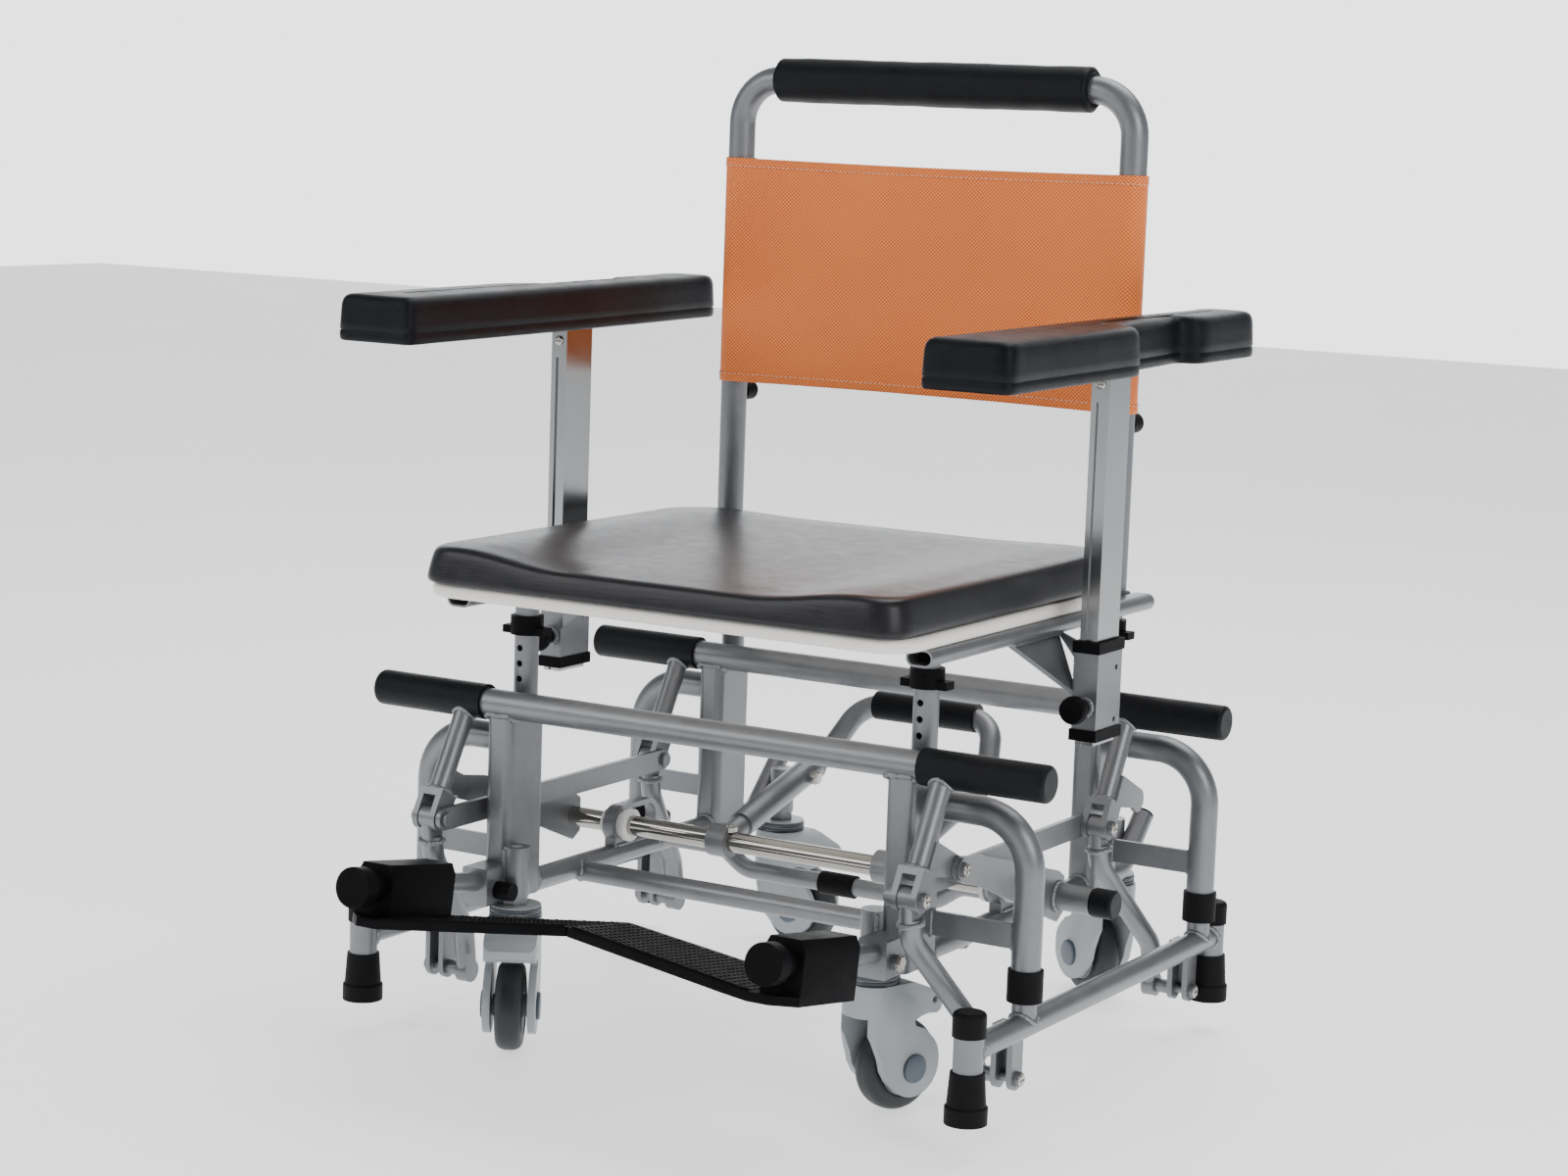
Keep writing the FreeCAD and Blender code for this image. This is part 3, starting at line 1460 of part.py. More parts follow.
def make_backrest_mesh():
    """The cloth drawn across the tubes and wrapped round them."""
    radius = back_tube_dia / 2
    outer = radius + mesh_thickness
    height = mesh_top_z - mesh_bottom_z
    shape = block(point(-back_x, back_y - outer, mesh_bottom_z), point(back_x, back_y - radius, mesh_top_z))
    for side in side_shares.values():
        x = side * back_x
        wrap = Part.makeCylinder(outer, height, point(x, back_y, mesh_bottom_z))
        middle_x = x - side * outer * 2
        inner_low = point(min(x, middle_x), back_y - outer - overrun, mesh_bottom_z - overrun)
        inner_high = point(max(x, middle_x), back_y + radius / 2, mesh_top_z + overrun)
        shape = shape.fuse(wrap.cut(block(inner_low, inner_high)))
    for side in side_shares.values():
        foot = point(side * back_x, back_y, mesh_bottom_z - overrun)
        shape = shape.cut(Part.makeCylinder(radius, height + 2 * overrun, foot))
    return one_solid(shape)


def back_knob(side):
    """A black thumb knob behind a backrest tube."""
    start = point(side * back_x, back_y + back_tube_dia / 2, back_knob_z)
    inner = point(side * back_x, back_y, back_knob_z)
    knob = rod(start, start + Vector(0, back_knob_length, 0), back_knob_dia)
    tube_form = rod(point(side * back_x, back_y, back_knob_z - back_knob_dia),
                    point(side * back_x, back_y, back_knob_z + back_knob_dia), back_tube_dia)
    return knob.fuse(rod(inner, start, pin_head_dia)).cut(tube_form)


def make_back_knobs():
    return group(both_sides(back_knob))


# Footrest


def footrest_clamp(side):
    """The block on the post that grips a footrest's tube, with knob and bolt."""
    x = side * footrest_x
    post_front = -post_lead
    half = clamp_block_width / 2
    low_z = footrest_tube_z - clamp_block_height / 2
    shape = rounded_block(point(x - half, post_front - clamp_block_depth, low_z),
                          point(x + half, post_front, low_z + clamp_block_height), tube_wall, Vector(0, 1, 0))
    middle = post_front - clamp_block_depth / 2
    bolt_z = footrest_tube_z - pin_dia / 2
    outer = side * half
    knob_start = point(x - outer, middle, bolt_z)
    knob = rod(knob_start, knob_start - Vector(side * clamp_knob_length, 0, 0), clamp_knob_dia)
    head_start = point(x + outer, middle, bolt_z)
    head = rod(head_start, head_start + Vector(side * pin_head_height, 0, 0), pin_head_dia)
    shape = shape.fuse(knob).fuse(head)
    socket_room = rod(footrest_place(side, 0, 0), footrest_place(side, housing_rear, 0), footrest_tube_dia)
    return shape.cut(socket_room).cut(caster_socket_room(side))


def caster_socket_room(side):
    """The space of the front caster socket beside a clamp."""
    return rod(point(side * socket_x, socket_front_y, swivel_top_z),
               point(side * socket_x, socket_front_y, socket_top_z + overrun), socket_dia + 2 * body_gap)


def make_footrest_clamps():
    return group(both_sides(footrest_clamp))


def footrest_place(side, forward, lift, across=0.0):
    """A point counted forward along a footrest tube and square above it."""
    slope = radians(footrest_slope)
    return point(side * (footrest_x + across),
                 footrest_tube_rear_y - forward * cos(slope) + lift * sin(slope),
                 footrest_tube_z + forward * sin(slope) + lift * cos(slope))


def footrest_arm(side):
    """A footrest tube, which carries a footplate."""
    return rod(footrest_place(side, 0, 0), footrest_place(side, knob_forward, 0), footrest_tube_dia)


def footrest_knob(side):
    """The disc knob with its neck on a footrest tube's front end."""
    tip = footrest_place(side, knob_forward + foot_knob_length, 0)
    knob = rod(footrest_place(side, knob_forward, 0), tip, foot_knob_dia)
    neck_start = footrest_place(side, housing_front + body_gap, 0)
    neck = rod(neck_start, footrest_place(side, knob_forward, 0), foot_knob_neck_dia)
    return neck.fuse(knob).cut(footrest_arm(side))


def footrest_face(side, outline, forward):
    """A flat outline of across and lift values, stood square to the tube."""
    return profile([footrest_place(side, forward, lift, across) for across, lift in outline])


def footplate(side):
    """A tapered plate moulded in one with the barrel that turns on the tube."""
    length = housing_front - housing_rear
    back = footrest_place(side, 0, 0) - footrest_place(side, length, 0)
    half = housing_width / 2
    shoulder = housing_top - housing_round
    top_half = half - housing_round / 2
    shell = [(-half, housing_low), (half, housing_low), (half, shoulder), (top_half, housing_top),
             (-top_half, housing_top), (-half, shoulder)]
    barrel = footrest_face(side, shell, housing_front).extrude(back)
    inner = plate_mid_gap / 2 - footrest_x
    plate_top = housing_low + plate_thickness
    plate = [(half, housing_low), (half, plate_top), (-half, plate_top), (inner, plate_mid_lift),
             (inner, plate_mid_lift - plate_thickness), (-half, housing_low)]
    depth = plate_front - plate_rear
    shape = footrest_face(side, plate, plate_front)
    shape = shape.extrude(footrest_place(side, 0, 0) - footrest_place(side, depth, 0))
    front_tip = [(half + overrun, plate_front + overrun), (half - plate_corner, plate_front + overrun),
                 (half + overrun, plate_front - plate_corner)]
    middle_tip = [(inner - overrun, plate_front + overrun), (inner - overrun, plate_front - plate_taper),
                  (-half, plate_front + overrun)]
    for tip in (front_tip, middle_tip):
        low = [footrest_place(side, forward, housing_low - overrun, across) for across, forward in tip]
        high = footrest_place(side, 0, housing_width) - footrest_place(side, 0, -housing_width)
        shape = shape.cut(profile(low).extrude(high))
    bore_start = footrest_place(side, housing_rear - overrun, 0)
    bore_end = footrest_place(side, housing_front + overrun, 0)
    bore = rod(bore_start, bore_end, footrest_tube_dia + 2 * running_gap)
    return one_solid(shape.fuse(barrel).cut(bore))


def make_all():
    """Every node of the trolley."""
    nodes = {
        "cross_rails": group([rail(end) for end in ends.values()]),
        "posts": make_posts(),
        "side_tubes": make_side_tubes(),
        "tube_plugs": make_tube_plugs(),
        "low_cross_tubes": make_low_cross_tubes(),
        "caster_sockets": make_caster_sockets(),
        "guide_legs": make_guide_legs(),
        "guide_bushings": make_guide_bushings(),
        "footrest_clamps": make_footrest_clamps(),
        "footrest_arms": group(both_sides(footrest_arm)),
        "footrest_knobs": group(both_sides(footrest_knob)),
        "seat_frame": make_seat_frame(),
        "seat_legs": make_seat_legs(),
        "seat_board": make_seat_board(),
        "seat_cushion": make_seat_cushion(),
        "arm_sockets": make_arm_sockets(),
        "socket_rings": make_socket_rings(),
        "backrest_tube": make_backrest_tube(),
        "push_grip": make_push_grip(),
        "backrest_mesh": make_backrest_mesh(),
        "backrest_knobs": make_back_knobs(),
        "cross_shaft": make_cross_shaft(),
        "shaft_plates": make_shaft_plates(),
        "shaft_rollers": make_shaft_rollers(),
        "pull_lever": make_pull_lever(),
        "lever_grip_and_knobs": make_lever_grip_and_knobs(),
    }
    for name, side in side_shares.items():
        nodes["foot_frame_" + name] = foot_frame(side)
        nodes["foot_rubbers_" + name] = foot_rubbers(side)
        nodes["link_bar_" + name] = link_bar(side)
        nodes["arm_post_" + name] = arm_post(side)
        nodes["arm_pad_" + name] = arm_pad(side)
        nodes["lock_knob_" + name] = lock_knob(side)
        nodes["footplate_" + name] = footplate(side)
        for row, end in ends.items():
            corner = row + name
            nodes["upper_link_" + corner] = upper_link(side, end)
            nodes["rail_grip_" + corner] = one_solid(rail_grip(side, end))
            nodes["lower_link_" + corner] = lower_link(side, end)
            nodes["caster_fork_" + corner] = caster_fork(side, end)
            nodes["caster_wheel_" + corner] = caster_wheel(side, end)
    return nodes


for node, shape in make_all().items():
    shape.exportStep("parts/" + node + ".step")
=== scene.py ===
import json
import math

import bmesh
import bpy
import numpy as np
from mathutils import Matrix


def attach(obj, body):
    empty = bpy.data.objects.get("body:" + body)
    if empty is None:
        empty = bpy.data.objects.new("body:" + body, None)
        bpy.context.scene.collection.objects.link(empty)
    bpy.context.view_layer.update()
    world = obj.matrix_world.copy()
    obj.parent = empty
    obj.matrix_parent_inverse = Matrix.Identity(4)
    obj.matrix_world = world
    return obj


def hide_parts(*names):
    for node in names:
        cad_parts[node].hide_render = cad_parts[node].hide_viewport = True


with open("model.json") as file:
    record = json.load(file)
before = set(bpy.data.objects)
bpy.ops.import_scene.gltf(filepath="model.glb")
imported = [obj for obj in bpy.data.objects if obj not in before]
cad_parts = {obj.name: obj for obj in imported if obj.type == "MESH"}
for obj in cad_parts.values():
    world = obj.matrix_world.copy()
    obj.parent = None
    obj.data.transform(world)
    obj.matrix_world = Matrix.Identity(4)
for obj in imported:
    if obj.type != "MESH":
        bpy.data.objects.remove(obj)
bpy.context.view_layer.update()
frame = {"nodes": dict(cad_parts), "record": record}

MM = 0.001
FRONT_RAIL_Y = -145.0
RAIL_SPREAD = 355.0
SIDES = {"l": -1, "r": 1}
ENDS = {"f": 0.0, "r": RAIL_SPREAD}
X, Y, Z = np.eye(3)
TAU = 2 * math.pi
random = np.random.default_rng(7)


# Places and meshes


def at(x, y, z):
    """A place in metres from millimetres, with y counted from the front rail."""
    return np.array([x, y + FRONT_RAIL_Y, z], float) * MM


def unit(v):
    v = np.asarray(v, float)
    return v / np.linalg.norm(v)


def square_to(axis):
    """Two directions at right angles to an axis."""
    a = unit(axis)
    first = unit(np.cross(a, Z if abs(a[2]) < 0.9 else X))
    return first, np.cross(a, first)


def spokes(t, first, second):
    """Directions at the angles t, turned from a first direction to a second."""
    return np.cos(t)[:, None] * first + np.sin(t)[:, None] * second


def placed(name, data):
    """A new object in the scene that shows the data."""
    made = bpy.data.objects.new(name, data)
    bpy.context.scene.collection.objects.link(made)
    return made


def piece(name, verts, faces, body, skin, smooth=True, uv=None):
    """A mesh of given points and faces, faces outwards, that rides on a body."""
    mesh = bpy.data.meshes.new(name)
    mesh.from_pydata(np.asarray(verts, float).tolist(), [], [list(map(int, f)) for f in faces])
    if uv is not None:
        layer = mesh.uv_layers.new(name="cloth")
        spots = np.zeros(len(mesh.loops), np.int32)
        mesh.loops.foreach_get("vertex_index", spots)
        layer.data.foreach_set("uv", np.asarray(uv, np.float32)[spots].ravel())
    work = bmesh.new()
    work.from_mesh(mesh)
    if uv is None:
        bmesh.ops.remove_doubles(work, verts=work.verts, dist=1e-7)
    bmesh.ops.recalc_face_normals(work, faces=work.faces)
    work.to_mesh(mesh)
    work.free()
    mesh.polygons.foreach_set("use_smooth", [smooth] * len(mesh.polygons))
    made = placed(name, mesh)
    mesh.materials.append(skin)
    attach(made, body)
    return made


def grid_faces(rows, columns, around=True, start=0):
    """Quads between neighbouring rows of a grid, closed across when around."""
    r = np.arange(rows - 1)[:, None]
    c = np.arange(columns if around else columns - 1)[None, :]
    n = (c + 1) % columns
    low, high = r * columns, (r + 1) * columns
    quads = np.stack([low + c, low + n, high + n, high + c], -1)
    return quads.reshape(-1, 4) + start


def closed_grid(points):
    """Rows of a closed section with both ends shut: the points and the faces."""
    rows, columns = points.shape[:2]
    verts = np.concatenate([points.reshape(-1, 3), points[0].mean(0)[None], points[-1].mean(0)[None]])
    faces = grid_faces(rows, columns).tolist()
    first, last, low, high = 0, (rows - 1) * columns, rows * columns, rows * columns + 1
    for c in range(columns):
        n = (c + 1) % columns
        faces.append([first + n, first + c, low])
        faces.append([last + c, last + n, high])
    return verts, faces


def looped(points):
    """Rows of a closed section that come round to the first row: the points and the faces."""
    loop = np.concatenate([points, points[:1]])
    return loop.reshape(-1, 3), grid_faces(len(loop), points.shape[1]).tolist()


def turned(centre, axis, outline, count=48):
    """A turned form: each (along, radius) of the outline swept round the axis, in mm."""
    along, radius = (np.asarray(outline, float) * MM).T[:, :, None, None]
    t = np.linspace(0, TAU, count, endpoint=False)
    return np.asarray(centre) + along * unit(axis) + radius * spokes(t, *square_to(axis))


def joined(parts):
    """Several sets of points and faces as one."""
    verts, faces, start = [], [], 0
    for points, polygons in parts:
        verts.append(points)
        faces += [[i + start for i in f] for f in polygons]
        start += len(points)
    return np.concatenate(verts), faces


def add(name, parts, body, skin, smooth=True):
    """Several sets of points and faces as one piece."""
    return piece(name, *joined(parts), body, skin, smooth)


def run_along(line):
    """The length walked up to each point of a line."""
    return np.concatenate([[0], np.cumsum(np.linalg.norm(np.diff(line, axis=0), axis=1))])


def points_at(places, run, line):
    """The points of a line at given lengths along it."""
    return np.stack([np.interp(places, run, column) for column in line.T], -1)


# Shared shader effects


def group_of(name, inputs, outputs):
    """A shader node group with its sockets, and what its nodes can take in and put out."""
    tree = bpy.data.node_groups.new(name, "ShaderNodeTree")
    for socket, kind, value in inputs:
        made = tree.interface.new_socket(name=socket, in_out="INPUT", socket_type=kind)
        if value is not None:
            made.default_value = value
    for socket, kind in outputs:
        tree.interface.new_socket(name=socket, in_out="OUTPUT", socket_type=kind)
    return tree, tree.nodes.new("NodeGroupInput").outputs, tree.nodes.new("NodeGroupOutput").inputs


def node(tree, kind, links=None, **values):
    """A node with its settings, and its inputs linked or set by name or number."""
    made = tree.nodes.new(kind)
    for key, value in values.items():
        setattr(made, key, value)
    for key, value in (links or {}).items():
        if isinstance(value, bpy.types.NodeSocket):
            tree.links.new(value, made.inputs[key])
        else:
            made.inputs[key].default_value = value
    return made


def math_node(tree, operation, *values):
    """The result of one sum."""
    return node(tree, "ShaderNodeMath", dict(enumerate(values)), operation=operation).outputs[0]


def mixed_colour(tree, share, first, second):
    """Two colours mixed by a share."""
    return node(tree, "ShaderNodeMix", {0: share, 6: first, 7: second}, data_type="RGBA").outputs[2]


def colour_variation():
    """Two tones mixed by soft clouds, and a roughness that follows them."""
    tree, given, out = group_of("tone_clouds", [
        ("Vector", "NodeSocketVector", None), ("Scale", "NodeSocketFloat", 20.0),
        ("Tone A", "NodeSocketColor", None), ("Tone B", "NodeSocketColor", None),
        ("Rough low", "NodeSocketFloat", 0.3), ("Rough high", "NodeSocketFloat", 0.5)],
        [("Color", "NodeSocketColor"), ("Roughness", "NodeSocketFloat")])
    clouds = node(tree, "ShaderNodeTexNoise", {"Vector": given["Vector"], "Scale": given["Scale"],
                                               "Detail": 6.0, "Roughness": 0.62})
    spread = node(tree, "ShaderNodeMapRange", {0: clouds.outputs[0], 1: 0.3, 2: 0.7}).outputs[0]
    rough = node(tree, "ShaderNodeMapRange", {0: spread, 3: given["Rough low"], 4: given["Rough high"]})
    tree.links.new(mixed_colour(tree, spread, given["Tone A"], given["Tone B"]), out["Color"])
    tree.links.new(rough.outputs[0], out["Roughness"])
    return tree


def skin_grain():
    """Cells with creases between them and a fine noise, as a height."""
    tree, given, out = group_of("skin_grain", [
        ("Vector", "NodeSocketVector", None), ("Cell scale", "NodeSocketFloat", 500.0),
        ("Fine scale", "NodeSocketFloat", 1500.0), ("Fine share", "NodeSocketFloat", 0.4)],
        [("Height", "NodeSocketFloat")])
    cells = node(tree, "ShaderNodeTexVoronoi", {"Vector": given["Vector"], "Scale": given["Cell scale"]},
                 feature="DISTANCE_TO_EDGE")
    crease = node(tree, "ShaderNodeMapRange", {0: cells.outputs["Distance"], 1: 0.0, 2: 0.22})
    fine = node(tree, "ShaderNodeTexNoise", {"Vector": given["Vector"], "Scale": given["Fine scale"],
                                             "Detail": 4.0})
    share = math_node(tree, "MULTIPLY", fine.outputs[0], given["Fine share"])
    tree.links.new(math_node(tree, "ADD", crease.outputs[0], share), out["Height"])
    return tree


def drawn_lines():
    """Long fine lines along one axis, as a height: noise on a stretched place."""
    tree, given, out = group_of("drawn_lines", [
        ("Vector", "NodeSocketVector", None), ("Stretch", "NodeSocketVector", (1, 1, 1)),
        ("Scale", "NodeSocketFloat", 400.0)], [("Height", "NodeSocketFloat")])
    place = node(tree, "ShaderNodeVectorMath", {0: given["Vector"], 1: given["Stretch"]},
                 operation="MULTIPLY")
    lines = node(tree, "ShaderNodeTexNoise", {"Vector": place.outputs[0], "Scale": given["Scale"],
                                              "Detail": 5.0, "Roughness": 0.6})
    tree.links.new(lines.outputs[0], out["Height"])
    return tree


def net_weave():
    """Two crossed diagonal waves: high where threads lie over, low in the holes."""
    tree, given, out = group_of("net_weave", [
        ("Vector", "NodeSocketVector", None), ("Across", "NodeSocketFloat", 0.0038),
        ("Along", "NodeSocketFloat", 0.0036)], [("Height", "NodeSocketFloat")])
    split = node(tree, "ShaderNodeSeparateXYZ", {0: given["Vector"]})
    across = math_node(tree, "DIVIDE", split.outputs[0], given["Across"])
    along = math_node(tree, "DIVIDE", split.outputs[1], given["Along"])
    waves = []
    for operation in ("ADD", "SUBTRACT"):
        turns = math_node(tree, operation, across, along)
        waves.append(math_node(tree, "COSINE", math_node(tree, "MULTIPLY", turns, TAU)))
    both = math_node(tree, "ADD", waves[0], waves[1])
    height = node(tree, "ShaderNodeMapRange", {0: both, 1: -2.0, 2: 2.0})
    tree.links.new(height.outputs[0], out["Height"])
    return tree


CLOUDS, GRAIN, LINES, WEAVE = colour_variation(), skin_grain(), drawn_lines(), net_weave()


COAT_ROUGHNESS, RELIEF_REACH = 0.15, 0.0004


def finish(name, tone_a, tone_b, rough, metal=0.0, coat=0.0, clouds=20.0, depth=0.15, relief="grain",
           cell=500.0, fine=1500.0, stretch=(1, 1, 1), specular=0.5):
    """A material with clouded tones, a mapped roughness and a fine relief."""
    made = bpy.data.materials.new(name)
    made.use_nodes = True
    tree = made.node_tree
    shader = tree.nodes["Principled BSDF"].inputs
    place = tree.nodes.new("ShaderNodeTexCoord").outputs["Object"]
    tones = node(tree, "ShaderNodeGroup", {
        "Vector": place, "Scale": clouds, "Tone A": (*tone_a, 1), "Tone B": (*tone_b, 1),
        "Rough low": rough[0], "Rough high": rough[1]}, node_tree=CLOUDS)
    tree.links.new(tones.outputs["Color"], shader["Base Color"])
    tree.links.new(tones.outputs["Roughness"], shader["Roughness"])
    for socket, value in (("Metallic", metal), ("Coat Weight", coat), ("Coat Roughness", COAT_ROUGHNESS),
                          ("Specular IOR Level", specular)):
        shader[socket].default_value = value
    if relief == "grain":
        height = node(tree, "ShaderNodeGroup", {"Vector": place, "Cell scale": cell, "Fine scale": fine},
                      node_tree=GRAIN)
    else:
        height = node(tree, "ShaderNodeGroup", {"Vector": place, "Stretch": stretch, "Scale": cell},
                      node_tree=LINES)
    bump = node(tree, "ShaderNodeBump", {"Height": height.outputs["Height"], "Strength": depth,
                                         "Distance": RELIEF_REACH})
    tree.links.new(bump.outputs[0], shader["Normal"])
    return made


SILVER = finish("silver_coat", (0.185, 0.19, 0.20), (0.225, 0.232, 0.243), (0.34, 0.44), metal=0.72,
                coat=0.12, clouds=35, depth=0.10, cell=1400, fine=3500, specular=0.4)
BEAD = finish("weld_bead", (0.20, 0.207, 0.217), (0.29, 0.297, 0.308), (0.30, 0.48), metal=0.75, coat=0.15,
              clouds=260, depth=0.35, cell=700, fine=2200, specular=0.4)
ALUMINIUM = finish("polished_aluminium", (0.27, 0.275, 0.28), (0.34, 0.345, 0.35), (0.14, 0.24), metal=1.0,
                   clouds=12, depth=0.06, relief="lines", stretch=(1, 1, 0.02), cell=1500)
CHROME = finish("chrome_rod", (0.34, 0.325, 0.30), (0.42, 0.40, 0.37), (0.07, 0.13), metal=1.0, clouds=25,
                depth=0.004, cell=1200)
STEEL = finish("stainless_bolt", (0.40, 0.385, 0.35), (0.52, 0.50, 0.465), (0.18, 0.32), metal=1.0,
               clouds=220, depth=0.12, cell=900)
RUBBER = finish("black_rubber", (0.0035, 0.0035, 0.004), (0.007, 0.007, 0.008), (0.50, 0.66), clouds=60,
                depth=0.2, cell=900, fine=2600, specular=0.10)
FOAM = finish("grip_foam", (0.003, 0.0035, 0.0045), (0.006, 0.007, 0.009), (0.36, 0.50), clouds=45,
              depth=0.22, cell=1100, fine=3000, specular=0.15)
PLASTIC = finish("black_plastic", (0.003, 0.003, 0.0035), (0.006, 0.006, 0.007), (0.42, 0.56), clouds=40,
                 depth=0.14, cell=1300, fine=2600, specular=0.05)
VINYL = finish("pad_vinyl", (0.003, 0.0035, 0.005), (0.006, 0.007, 0.010), (0.30, 0.42), clouds=30, depth=0.3,
               cell=620, fine=2000, specular=0.13)
SEAT_VINYL = finish("seat_vinyl", (0.010, 0.010, 0.012), (0.016, 0.016, 0.019), (0.30, 0.37), clouds=70,
                    depth=0.45, relief="lines", stretch=(0.05, 1, 1), cell=560, specular=0.30)
BOARD = finish("board_white", (0.88, 0.84, 0.78), (0.92, 0.89, 0.84), (0.34, 0.46), clouds=15, depth=0.08,
               cell=500)
CASTER = finish("caster_grey", (0.30, 0.325, 0.34), (0.35, 0.375, 0.39), (0.32, 0.44), clouds=25, depth=0.08,
                cell=700)
TYRE = finish("tyre_charcoal", (0.009, 0.010, 0.011), (0.018, 0.020, 0.022), (0.42, 0.58), clouds=80,
              depth=0.2, cell=600)
CAP = finish("cap_blue_grey", (0.065, 0.085, 0.11), (0.085, 0.105, 0.13), (0.32, 0.42), clouds=60, depth=0.08)
DISC = finish("disc_dark", (0.035, 0.042, 0.052), (0.05, 0.06, 0.07), (0.36, 0.48), clouds=60, depth=0.1)
WHITE = finish("white_plastic", (0.76, 0.76, 0.74), (0.82, 0.82, 0.80), (0.25, 0.35), clouds=40, depth=0.06)
THREAD = finish("hem_thread", (0.80, 0.62, 0.48), (0.92, 0.80, 0.68), (0.5, 0.7), clouds=500, depth=0.4,
                cell=3000)


def orange_cloth():
    """Net cloth: a colour ramp on the weave height paints shade into the holes and a paler painted highlight onto
    the thread tops, with a sheen and a weave relief.
    """
    made = bpy.data.materials.new("orange_net")
    made.use_nodes = True
    tree = made.node_tree
    shader = tree.nodes["Principled BSDF"].inputs
    coords = tree.nodes.new("ShaderNodeTexCoord").outputs
    weave = node(tree, "ShaderNodeGroup", {"Vector": coords["UV"]}, node_tree=WEAVE).outputs["Height"]
    # Painted light: the low stop darkens the holes as painted shade, and the top stop lightens the thread tops as
    # a painted highlight. The middle stop is the thread's own orange.
    weave_shade_and_highlight = node(tree, "ShaderNodeValToRGB", {0: weave})
    painted_light_stops = weave_shade_and_highlight.color_ramp.elements
    painted_light_stops[0].position, painted_light_stops[0].color = 0.12, (0.50, 0.060, 0.002, 1)
    painted_light_stops[1].position, painted_light_stops[1].color = 0.95, (1.0, 0.42, 0.12, 1)
    painted_light_stops.new(0.55).color = (1.0, 0.185, 0.008, 1)
    clouds = node(tree, "ShaderNodeTexNoise", {"Vector": coords["Object"], "Scale": 9.0, "Detail": 3.0})
    spread = node(tree, "ShaderNodeMapRange", {0: clouds.outputs[0], 1: 0.35, 2: 0.7, 3: 0.0, 4: 0.30})
    mixed = mixed_colour(tree, spread.outputs[0], weave_shade_and_highlight.outputs[0], (1.0, 0.27, 0.035, 1))
    tree.links.new(mixed, shader["Base Color"])
    rough = node(tree, "ShaderNodeMapRange", {0: weave, 3: 0.72, 4: 0.46})
    tree.links.new(rough.outputs[0], shader["Roughness"])
    bump = node(tree, "ShaderNodeBump", {"Height": weave, "Strength": 0.5, "Distance": 0.0006})
    tree.links.new(bump.outputs[0], shader["Normal"])
    shader["Sheen Weight"].default_value = 0.15
    return made


NET = orange_cloth()


def two_finishes(name, base, other, test):
    """One node's two finishes: the other one shows where the test on its place is true."""
    made = base.copy()
    made.name = name
    tree = made.node_tree
    shader = tree.nodes["Principled BSDF"].inputs
    place = next(n for n in tree.nodes if n.type == "TEX_COORD").outputs["Object"]
    mask = test(tree, node(tree, "ShaderNodeSeparateXYZ", {0: place}))
    tones = next(n for n in other.node_tree.nodes if n.type == "GROUP" and n.node_tree == CLOUDS)
    values = {socket.name: socket.default_value for socket in tones.inputs if socket.name != "Vector"}
    second = node(tree, "ShaderNodeGroup", {"Vector": place, **values}, node_tree=CLOUDS)
    mixed = mixed_colour(tree, mask, shader["Base Color"].links[0].from_socket, second.outputs["Color"])
    tree.links.new(mixed, shader["Base Color"])
    rough = node(tree, "ShaderNodeMix", {0: mask, 2: shader["Roughness"].links[0].from_socket,
                                         3: second.outputs["Roughness"]}, data_type="FLOAT")
    tree.links.new(rough.outputs[0], shader["Roughness"])
    pair = [m.node_tree.nodes["Principled BSDF"].inputs for m in (base, other)]
    for socket in ("Metallic", "Coat Weight"):
        low, high = (inputs[socket].default_value for inputs in pair)
        share = node(tree, "ShaderNodeMapRange", {0: mask, 3: low, 4: high})
        tree.links.new(share.outputs[0], shader[socket])
    shader["Specular IOR Level"].default_value = min(p["Specular IOR Level"].default_value for p in pair)
    return made


def between(axis, low, high):
    """A test: the place along an axis lies between two values in mm."""
    def test(tree, split):
        above = math_node(tree, "GREATER_THAN", split.outputs[axis], low * MM)
        below = math_node(tree, "LESS_THAN", split.outputs[axis], high * MM)
        return math_node(tree, "MULTIPLY", above, below)
    return test


def off_middle(operation, reach):
    """A test: the place lies further from the middle, or nearer to it, than a value in mm."""
    def test(tree, split):
        return math_node(tree, operation, math_node(tree, "ABSOLUTE", split.outputs[0]), reach * MM)
    return test


SILVER_WITH_COLLARS = two_finishes("leg_with_collar", SILVER, PLASTIC, between(2, 363.8, 381.2))
CHROME_WITH_STUBS = two_finishes("shaft_with_stubs", CHROME, SILVER, off_middle("GREATER_THAN", 255.2))
CLAMP_WITH_KNOB = two_finishes("clamp_with_knob", SILVER, PLASTIC, off_middle("LESS_THAN", 189.3))

SKINS = {
    "cross_rails": SILVER, "posts": SILVER, "side_tubes": SILVER, "low_cross_tubes": SILVER,
    "caster_sockets": SILVER, "guide_legs": SILVER, "footrest_clamps": CLAMP_WITH_KNOB, "footrest_arms": SILVER,
    "tube_plugs": PLASTIC, "guide_bushings": RUBBER, "footrest_knobs": PLASTIC, "seat_frame": SILVER,
    "seat_legs": SILVER_WITH_COLLARS, "seat_board": BOARD, "arm_sockets": SILVER, "socket_rings": PLASTIC,
    "backrest_tube": SILVER, "backrest_knobs": PLASTIC, "cross_shaft": CHROME_WITH_STUBS,
    "shaft_rollers": WHITE, "pull_lever": SILVER, "lever_grip_and_knobs": FOAM, "shaft_plates": SILVER,
    "arm_post": ALUMINIUM, "upper_link": SILVER, "lower_link": SILVER, "link_bar": SILVER, "foot_frame": SILVER,
    "foot_rubbers": RUBBER, "rail_grip": FOAM, "lock_knob": PLASTIC, "footplate": PLASTIC,
    "caster_fork": CASTER, "caster_wheel": TYRE, "arm_pad": VINYL, "seat_cushion": VINYL, "push_grip": FOAM,
    "backrest_mesh": NET,
}


